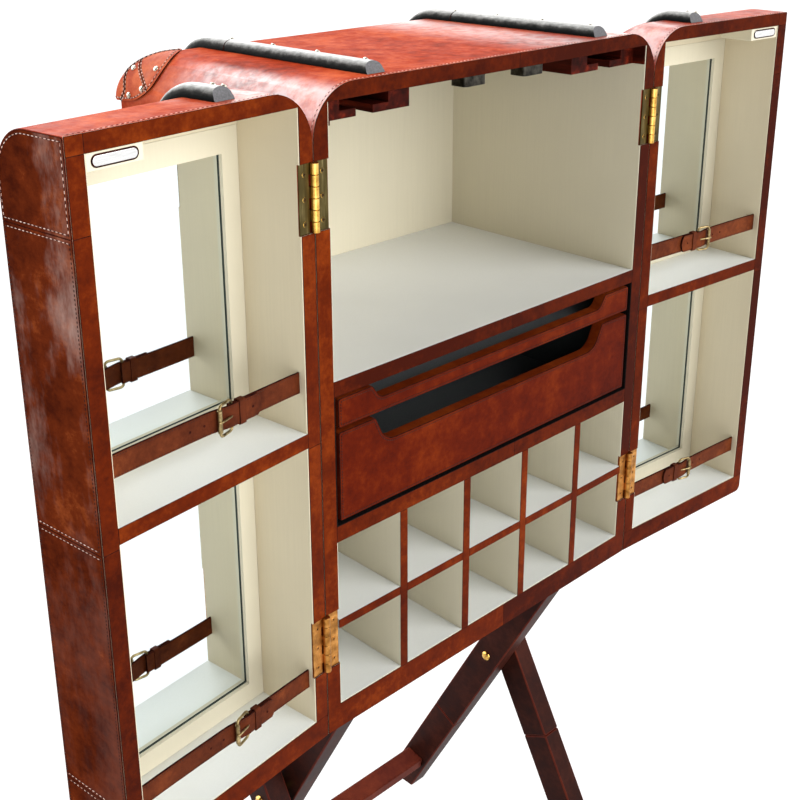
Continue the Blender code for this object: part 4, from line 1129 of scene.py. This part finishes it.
def batten_mesh(x, start, back, top, radius, jointed=True):
    """Sweeps the half-round section over the top and down the back. The long ones are joined near the bend."""
    stations = []  # (place, way along, way up, swell, lean of the cut end)
    flat_end = back - radius
    joint = max(flat_end - JOINT_FROM_BEND, start + 0.030)
    for y in (start, start + 0.004, joint - 0.0009, joint, joint + 0.0009, flat_end - 0.0005):
        stations.append((y, top, 0.0, 0.90 if jointed and y == joint else 1.0))
    for step in range(0, 13):
        stations.append((None, None, math.pi / 2 * step / 12, 1.0))
    stations.append((back, top - BATTEN_DROP, math.pi / 2, 1.0))
    profile = batten_profile()
    shape = bmesh.new()
    crown = shape.verts.layers.float.new("crown")
    rings = []
    for number, (y, z, angle, swell) in enumerate(stations):
        if y is None:
            y = flat_end + radius * math.sin(angle)
            z = top - radius + radius * math.cos(angle)
        up = Vector((0, math.sin(angle), math.cos(angle)))
        along = Vector((0, math.cos(angle), -math.sin(angle)))
        ring = []
        for across, height in profile:
            lean = height * 0.55 if number == 0 else (height * 0.5 if number == 1 else 0.0)
            point = Vector((x + across * swell, y, z)) + up * (height * swell + 0.0001) + along * lean
            ring.append(shape.verts.new(point))
            # how far up the crown, for the finish's painted highlight
            ring[-1][crown] = height / BATTEN_H
        rings.append(ring)
    for number, (first, second) in enumerate(zip(rings, rings[1:])):
        for k in range(len(profile)):
            face = shape.faces.new((first[k - 1], first[k], second[k], second[k - 1]))
            face.material_index = 2 if jointed and number in (2, 3) else 0
    front = shape.faces.new(rings[0])
    shape.faces.new(rings[-1])
    front.material_index = 1
    bmesh.ops.recalc_face_normals(shape, faces=shape.faces)
    mesh = bpy.data.meshes.new("batten")
    shape.to_mesh(mesh)
    shape.free()
    return mesh


def batten_nails(x, flank, start, back, top, radius):
    """Places of the nails along a batten's flank: two on the bend and some spaced evenly down its length."""
    flat_end = back - radius
    lean = Vector((flank * 0.75, 0, 0.66))
    spots = []
    count = max(1, round((flat_end - start) / 0.11))
    for number in range(count + 1):
        y = start + 0.024 + (flat_end - 0.030 - start - 0.024) * number / count
        spots.append((Vector((x + flank * 0.0085, y, top + BATTEN_H * 0.84)), lean))
    for angle in (math.radians(38), math.radians(80)):
        up = Vector((0, math.sin(angle), math.cos(angle)))
        centre = Vector((x + flank * 0.0085, flat_end, top - radius))
        spots.append((centre + up * (radius + BATTEN_H * 0.84), Vector((flank * 0.75, 0, 0)) + up * 0.66))
    return spots


for name, side in (("left", -1), ("right", 1)):
    sizes = (BATTEN_START, DEPTH, HEIGHT, EDGE_R)
    mesh = batten_mesh(side * BATTEN_X, *sizes)
    piece(
        f"case_batten_{name}_bar", mesh, TRUNK, "trunk", [f"case_batten_{name}"],
        [BATTEN, BATTEN_END, DARK_EDGE_AND_SHADE], 60,
    )
    nails = domes(batten_nails(side * BATTEN_X, 1, *sizes))
    piece(f"case_batten_{name}_nails", nails, TRUNK, "trunk", (), [NAIL])
    sizes = (PIN_Y + BATTEN_START, PIN_Y + DOOR_D, HEIGHT, DOOR_FACE_R)
    mesh = batten_mesh(side * (PIN_OUT + DOOR_BATTEN_U), *sizes, jointed=False)
    piece(
        f"{name}_door_batten_bar", mesh, door_frames[name], f"{name}_door",
        [f"{name}_door_batten"], [BATTEN, BATTEN_END, DARK_EDGE_AND_SHADE], 60,
    )
    nails = domes(batten_nails(side * (PIN_OUT + DOOR_BATTEN_U), 1, *sizes))
    piece(f"{name}_door_batten_nails", nails, door_frames[name], f"{name}_door", (), [NAIL])

# Hinges. Cast brass butts, polished and lacquered, on the front edges of case and doors. Each leaf is
# held by three countersunk screws, and the knuckles turn on a steel-cored brass pin.
KNUCKLE_R = 0.0045
LEAF_W = 0.0195
LEAF_Y = (0.0027, 0.0044)  # behind the pin's axis
KNUCKLES = 6
SCREW_X = 0.0125
BRASS = Finish("polished_brass", Metallic=1.0)
tarnish = BRASS.noise(70.0, 5.0, 0.65)
BRASS.set(
    Base_Color=BRASS.ramp(tarnish, (0.30, (0.46, 0.24, 0.045)), (0.52, (0.76, 0.46, 0.11)), (0.72, (0.92, 0.64, 0.20))),
    Roughness=0.16 + tarnish * 0.16,
)
BRASS.relief(tarnish, 0.08, 0.0004)
BRASS = BRASS.material
LEAF_BRASS = Finish("worn_leaf_brass", Metallic=1.0)
drawn = LEAF_BRASS.noise(1.0, 5.0, 0.65, LEAF_BRASS.stretched(260.0, 260.0, 24.0))
LEAF_BRASS.set(
    Base_Color=LEAF_BRASS.ramp(drawn, (0.30, (0.040, 0.028, 0.009)), (0.55, (0.085, 0.064, 0.022)), (0.78, (0.230, 0.185, 0.085))),
    Roughness=0.30 + drawn * 0.2,
)
LEAF_BRASS.relief(drawn, 0.12, 0.0004)
LEAF_BRASS = LEAF_BRASS.material
GOLDEN = Finish("golden_leaf_brass", Metallic=1.0)
handled = GOLDEN.noise(90.0, 5.0, 0.65)
GOLDEN.set(
    Base_Color=GOLDEN.ramp(handled, (0.34, (0.22, 0.090, 0.018)), (0.52, (0.46, 0.200, 0.044)), (0.70, (0.66, 0.330, 0.095))),
    Roughness=0.30 + handled * 0.2,
)
GOLDEN = GOLDEN.material


def turned(radius, low, high, chamfer, sides=28):
    """A chamfered cylinder on the Z axis."""
    shape = bmesh.new()
    rings = []
    for r, z in ((radius - chamfer, low), (radius, low + chamfer), (radius, high - chamfer), (radius - chamfer, high)):
        rings.append(
            [shape.verts.new((r * math.cos(2 * math.pi * k / sides), r * math.sin(2 * math.pi * k / sides), z)) for k in range(sides)]
        )
    for first, second in zip(rings, rings[1:]):
        for k in range(sides):
            after = (k + 1) % sides
            shape.faces.new((first[k], first[after], second[after], second[k]))
    shape.faces.new(rings[0][::-1])
    shape.faces.new(rings[-1])
    mesh = bpy.data.meshes.new("turned")
    shape.to_mesh(mesh)
    shape.free()
    return mesh


def slab(x, y, z, soften):
    """A small block with broken edges."""
    mesh = settle(shaped_box((min(x), min(y), min(z)), (max(x), max(y), max(z))), (), soften)
    return mesh


def screw_head(x, y, z, angle, radius=0.0030):
    """A countersunk screw head facing the front, with a dark cross on it that paints the shade in its slot."""
    facing = Matrix.Translation((x, y, z)) @ Matrix.Rotation(math.pi / 2, 4, "X") @ Matrix.Rotation(angle, 4, "Z")
    head = turned(radius, -0.0003, 0.0005, 0.0003, 20)
    for face in head.polygons:
        face.material_index = 2 if face.normal.z > 0.9 else 0
    parts = [(head, facing, 0.0)]
    for turn in (0, math.pi / 2):
        slot = slab((-radius * 0.6, radius * 0.6), (-0.0004, 0.0004), (0.0002, 0.00056), 0.0)
        for face in slot.polygons:
            face.material_index = 1
        parts.append((slot, facing @ Matrix.Rotation(turn, 4, "Z"), 0.0))
    return parts


random.seed(7)
knuckle_l = LEAF_L / KNUCKLES
SLOT = 0.0012  # between a leaf and the other leaf's knuckles
for name, (side, turn) in SIDES.items():
    for level, z in HINGES_Z.items():
        for whose, toward, first in (("trunk", 1, 0), ("door", -1, 1)):
            comb = []
            for index in range(KNUCKLES):
                reach = KNUCKLE_R * 0.3 if index % 2 == first else KNUCKLE_R + SLOT
                low = -LEAF_L / 2 + index * knuckle_l
                comb += [(toward * reach, low), (toward * reach, low + knuckle_l)]
            comb += [(toward * LEAF_W, LEAF_L / 2), (toward * LEAF_W, -LEAF_L / 2)]
            leaf = cut_hide([comb], LEAF_Y[1] - LEAF_Y[0], 0.0003)
            for face in leaf.polygons:
                face.material_index = 2
            parts = [(leaf, Matrix.Translation((0, LEAF_Y[1], 0)) @ FRONT, 0.0)]
            for index in range(first, KNUCKLES, 2):
                low = -LEAF_L / 2 + index * knuckle_l + 0.00015
                parts.append((turned(KNUCKLE_R, low, low + knuckle_l - 0.0003, 0.0004), Matrix(), 0.0))
            for height in (-0.0255, 0.0, 0.0255):
                parts += screw_head(toward * SCREW_X, LEAF_Y[0], height, random.uniform(0, 1.5))
            mesh = gather(parts)
            if side > 0:
                mesh.transform(Matrix.Rotation(math.pi, 4, "Y"))
            if whose == "trunk":
                place = TRUNK @ Matrix.Translation((side * (WIDTH / 2 + PIN_OUT), -PIN_Y, z))
                node, body = f"{name}_hinge_leaf_{level}", "trunk"
            else:
                place = door_frames[name] @ Matrix.Translation((0, 0, z))
                node, body = f"{name}_door_leaf_{level}", f"{name}_door"
            metals = [BRASS, DARK_EDGE_AND_SHADE, LEAF_BRASS] if level == "upper" else [GOLDEN, DARK_EDGE_AND_SHADE, GOLDEN]
            piece(f"{node}_brass", mesh, place, body, [node], metals, 40)

# Bottle straps. Two belts cross each door, of dark hide with sewn, burnished edges. The hinge side's half
# holds a cast brass buckle and a keeper; the free side's half runs through them to a pointed end.
STRAP_W = 0.0240
STRAP_T = 0.0027
STRAPS_Z = {"lower": 0.0855, "upper": 0.4535}
TAIL_START = {"left": 0.0790, "right": 0.0940}
BUCKLE_FROM_TIP = 0.0484
BUCKLE_HALF = (0.0096, 0.0166)
STRAP_HIDE = leather(
    "strap_hide", (0.040, 0.008, 0.003), (0.090, 0.019, 0.006), (0.190, 0.046, 0.012), 0.36, 0.0, 0.03
)
OLD_BRASS = Finish("antique_brass", Metallic=1.0)
tarnish = OLD_BRASS.noise(220.0, 4.0, 0.6)
OLD_BRASS.set(
    Base_Color=OLD_BRASS.ramp(tarnish, (0.30, (0.10, 0.070, 0.030)), (0.55, (0.30, 0.22, 0.10)), (0.78, (0.62, 0.50, 0.28))),
    Roughness=0.22 + tarnish * 0.25,
)
OLD_BRASS = OLD_BRASS.material


def belt(path, width, thick, z, taper=()):
    """A belt of hide along (u, v) points, its last stations narrowed by taper. Also its sewn rows."""
    edge = 0.0006
    half, deep = width / 2, thick / 2
    profile = [
        (-half, -deep + edge), (-half + edge, -deep), (half - edge, -deep), (half, -deep + edge),
        (half, deep - edge), (half - edge, deep), (-half + edge, deep), (-half, deep - edge),
    ]
    shape = bmesh.new()
    rings, rows, outs = [], ([], []), []
    for index, point in enumerate(path):
        before, after = Vector(path[max(index - 1, 0)]), Vector(path[min(index + 1, len(path) - 1)])
        along = (after - before).normalized()
        back = Vector((-along.y, along.x))
        back = back if back.y > 0 else -back
        late = index - (len(path) - len(taper))
        narrow = taper[late] if late >= 0 else 1.0
        ring = []
        for across, depth in profile:
            spot = Vector(point) + back * depth
            ring.append(shape.verts.new((spot.x, spot.y, z + across * narrow)))
        rings.append(ring)
        front = Vector(point) - back * deep
        if narrow == 1.0:
            for row, sign in zip(rows, (-1, 1)):
                row.append(Vector((front.x, front.y, z + sign * (half - 0.0021))))
            outs.append(Vector((-back.x, -back.y, 0)))
    for first, second in zip(rings, rings[1:]):
        for k in range(8):
            after = (k + 1) % 8
            face = shape.faces.new((first[k], first[after], second[after], second[k]))
            face.material_index = 0 if k in (1, 5) else 1
    for ring in (rings[0], rings[-1]):
        shape.faces.new(ring).material_index = 1
    bmesh.ops.recalc_face_normals(shape, faces=shape.faces)
    mesh = bpy.data.meshes.new("belt")
    shape.to_mesh(mesh)
    shape.free()
    return mesh, rows, outs


for name, (side, turn) in SIDES.items():
    inward = to_door(side)
    body = f"{name}_door"
    for level, z in STRAPS_Z.items():
        tip = TAIL_START[name]
        middle = tip + BUCKLE_FROM_TIP
        bar_in, bar_out = middle - BUCKLE_HALF[0], middle + BUCKLE_HALF[0]
        hinge_half = smooth_run([(0.0198, 0.0095), (0.045, 0.0098), (bar_in - 0.012, 0.0093), (bar_in + 0.003, 0.0093)])
        free_half = smooth_run([
            (DOOR_W - 0.0198, 0.0095), (0.230, 0.0100), (bar_out + 0.018, 0.0094), (bar_out + 0.003, 0.0084),
            (bar_out - 0.004, 0.0072), (bar_in + 0.003, 0.0052), (bar_in - 0.008, 0.0056), (tip + 0.009, 0.0060),
            (tip + 0.006, 0.0061), (tip + 0.003, 0.0062), (tip, 0.0063),
        ])
        parts = []
        sewing = Stitching()
        for path, taper in ((hinge_half, ()), (free_half, (0.86, 0.62, 0.16))):
            mesh, rows, outs = belt(path, STRAP_W, STRAP_T, z, taper)
            parts.append((mesh, inward, 0.0))
            for row in rows:
                sewing.row([inward @ p for p in row], [Vector((o.x * side, o.y, 0)) for o in outs], 0.0034, 0.0025, 0.0004)
        keeper_u = tip + 0.0225
        rings = []
        for v, half in (((0.0032, 0.0118), 0.0137), ((0.0044, 0.0110), 0.0123)):
            corners = [(v[0], z - half), (v[1], z - half), (v[1], z + half), (v[0], z + half)]
            rings.append(rounded_path(corners, [0.0018] * 4, step=0.0008))
        across = Matrix(((0, 0, 1, keeper_u), (1, 0, 0, 0), (0, 1, 0, 0), (0, 0, 0, 1)))
        parts.append((cut_hide(rings, 0.0085, 0.0004, 0), inward @ across, -0.03))
        # Dark discs on the strap paint the shade in its punched holes.
        for hole_u, hole_v in ((tip + 0.012, 0.0046), (bar_out + 0.016, 0.0081), (bar_out + 0.034, 0.0084)):
            hole = turned(0.0013, 0.0, 0.0004, 0.0001, 12)
            for face in hole.polygons:
                face.material_index = 1
            facing = Matrix.Translation((hole_u, hole_v, z)) @ Matrix.Rotation(math.pi / 2, 4, "X")
            parts.append((hole, inward @ facing, 0.0))
        piece(
            f"{name}_belt_{level}", gather(parts), door_frames[name], body,
            [f"{name}_strap_{level}"], [STRAP_HIDE, DARK_EDGE_AND_SHADE],
        )
        piece(f"{name}_belt_stitches_{level}", sewing.mesh(), door_frames[name], body, (), [DARK_THREAD_AND_HOLE_SHADE], 0)

        # Buckle: a cast frame with a roller on its outer bar, and a prong that lies across it
        ring = []
        half_u, half_z = BUCKLE_HALF
        corners = [(-half_u, -half_z), (half_u, -half_z), (half_u, half_z), (-half_u, half_z)]
        for point in rounded_path(corners, [0.0042] * 4, step=0.0010):
            depth = 0.0030 + (half_u - point.x) / (2 * half_u) * 0.0046
            ring.append((middle + point.x, depth, z + point.y))
        roller = turned(0.0025, -half_z + 0.0045, half_z - 0.0045, 0.0004, 20)
        prong = tube([(bar_in, 0.0062, z), (bar_in + 0.0035, 0.0036, z), (middle + 0.001, 0.0020, z), (bar_out, 0.0002, z), (bar_out + 0.0030, 0.0012, z)], 0.0012)
        metal = [
            (tube(ring, 0.0016, True), inward, 0.0),
            (roller, inward @ Matrix.Translation((bar_out, 0.0030, z)), 0.0),
            (prong, inward, 0.0),
        ]
        piece(
            f"{name}_cast_buckle_{level}", gather(metal), door_frames[name], body,
            [f"{name}_buckle_{level}"], [OLD_BRASS], 40,
        )

# Folding stand. Two crossed pairs of hardwood legs are covered in very dark hide, redder on their narrow
# faces, in two lengths that meet at a seam. They turn on domed brass bolts and are tied by cross bars.
PIVOT = TRUNK @ Matrix.Translation((0, DEPTH / 2, -0.2276))
LEG_ANGLE = math.radians(61.6)
LEG_W = 0.049
LEG_T = 0.0323
INNER_LEG_X = 0.1934
OUTER_LEG_X = INNER_LEG_X + LEG_T + 0.0067
LEG_TOP = 0.2276 - 0.0003 - 0.0220 - 0.0003
LEG_FOOT = 0.2276 - 0.59
LEG_SEAMS = {"inner": -0.163, "outer": -0.135}
STAND_DARK = leather(
    "stand_hide", (0.010, 0.004, 0.004), (0.024, 0.006, 0.004), (0.050, 0.012, 0.007), 0.36, 0.0, 0.03
)
STAND_RED = leather(
    "stand_edge_hide", (0.035, 0.007, 0.005), (0.070, 0.012, 0.007), (0.110, 0.020, 0.009), 0.34, 0.0, 0.03
)
slant = LEG_W / 2 / math.sin(LEG_ANGLE)
lean_run = 1 / math.tan(LEG_ANGLE)
for pair, inner_face, lean in (("inner", INNER_LEG_X, 1), ("outer", OUTER_LEG_X, -1)):
    seam = LEG_SEAMS[pair]
    square = LEG_W / 2 * math.cos(LEG_ANGLE)  # a seam crosses the leg squarely
    for name, side in (("left", -1), ("right", 1)):
        cuts = []
        for upper in (True, False):
            corners = []
            ends = ((LEG_TOP, False), (seam, True)) if upper else ((seam, True), (LEG_FOOT, False))
            for (z, is_seam), edges in zip(ends, ((-1, 1), (1, -1))):
                for edge in edges:
                    if is_seam:
                        height = z + edge * lean * square + (0.0001 if upper else -0.0001)
                        corners.append((-lean * z * lean_run + edge * LEG_W / 2 * math.sin(LEG_ANGLE), height))
                    else:
                        corners.append((-lean * z * lean_run + edge * slant, z))
            across = Matrix(((0, 0, 1, side * (inner_face + LEG_T / 2) - LEG_T / 2), (1, 0, 0, 0), (0, 1, 0, 0), (0, 0, 0, 1)))
            cuts.append((cut_hide([corners], LEG_T, 0.0022, 2), across, 0.0 if upper else 0.02))
        piece(
            f"{pair}_leg_{name}_hide", gather(cuts), PIVOT, f"stand_{pair}",
            [f"{pair}_leg_{name}"], [STAND_DARK, STAND_RED, STAND_RED],
        )
for pair in ("inner", "outer"):
    dress(f"{pair}_top_rail", STAND_DARK, 0.0)
    dress(f"{pair}_stretcher", STAND_RED, 0.0)
for side in ("left", "right"):
    dress(f"pivot_bolt_{side}", BRASS, 0.0)

# Camera, light and floor. The camera stands where the photograph was taken from. A plain white floor
# and room, with three broad soft suns, from the front, from behind on the left and from the back right,
# and a soft panel at the front left.
camera = bpy.data.objects.new("camera", bpy.data.cameras.new("camera"))
bpy.context.scene.collection.objects.link(camera)
camera.matrix_world = Matrix(
    (
        (0.72352, 0.23669, -0.64846, -1.05339),
        (-0.69025, 0.23654, -0.68381, -1.07382),
        (-0.00847, 0.94235, 0.33451, 1.55236),
        (0, 0, 0, 1),
    )
)
camera.data.sensor_width = 36.0
camera.data.lens = 54.836
camera.data.shift_x = 0.02719
camera.data.shift_y = -0.12914
camera.data.clip_start = 0.01
bpy.context.scene.camera = camera

FLOOR = Finish("pale_floor", Roughness=0.9, Specular_IOR_Level=0.0, Emission_Strength=1.0)
FLOOR.set(
    Base_Color=FLOOR.ramp(FLOOR.noise(1.5), (0.3, (0.10, 0.10, 0.10)), (0.7, (0.12, 0.12, 0.12))),
    Emission_Color=(1.0, 1.0, 1.0),
)
floor_mesh = bpy.data.meshes.new("floor")
reach = 30.0
floor_mesh.from_pydata([(-reach, -reach, 0), (reach, -reach, 0), (reach, reach, 0), (-reach, reach, 0)], [], [(0, 1, 2, 3)])
floor = bpy.data.objects.new("floor", floor_mesh)
floor_mesh.materials.append(FLOOR.material)
bpy.context.scene.collection.objects.link(floor)

world = bpy.data.worlds.new("room")
bpy.context.scene.world = world
world.use_nodes = True
world.node_tree.nodes["Background"].inputs["Color"].default_value = (1.0, 1.0, 1.0, 1.0)
world.node_tree.nodes["Background"].inputs["Strength"].default_value = 0.12

LIGHTS = {
    # way the light comes from, how broad it is in degrees, and its strength
    "front_softbox": ((0.30, -0.90, 0.26), 64, 4.6),
    "back_left_softbox": ((-0.18, 0.80, 0.46), 86, 7.8),
    "back_right_softbox": ((0.75, 0.64, 0.20), 50, 1.8),
}
for name, (way, breadth, strength) in LIGHTS.items():
    sun = bpy.data.objects.new(name, bpy.data.lights.new(name, "SUN"))
    sun.data.energy = strength
    sun.data.angle = math.radians(breadth)
    sun.rotation_euler = Vector(way).to_track_quat("Z", "Y").to_euler()
    bpy.context.scene.collection.objects.link(sun)
near_panel = bpy.data.objects.new("near_panel", bpy.data.lights.new("near_panel", "AREA"))
near_panel.data.energy = 8.0
near_panel.data.size = 1.2
near_panel.location = (-0.95, -1.55, 1.25)
near_panel.rotation_euler = (near_panel.location - Vector((-0.25, 0.0, 0.95))).to_track_quat("Z", "Y").to_euler()
bpy.context.scene.collection.objects.link(near_panel)
bpy.context.scene.view_settings.view_transform = "Standard"
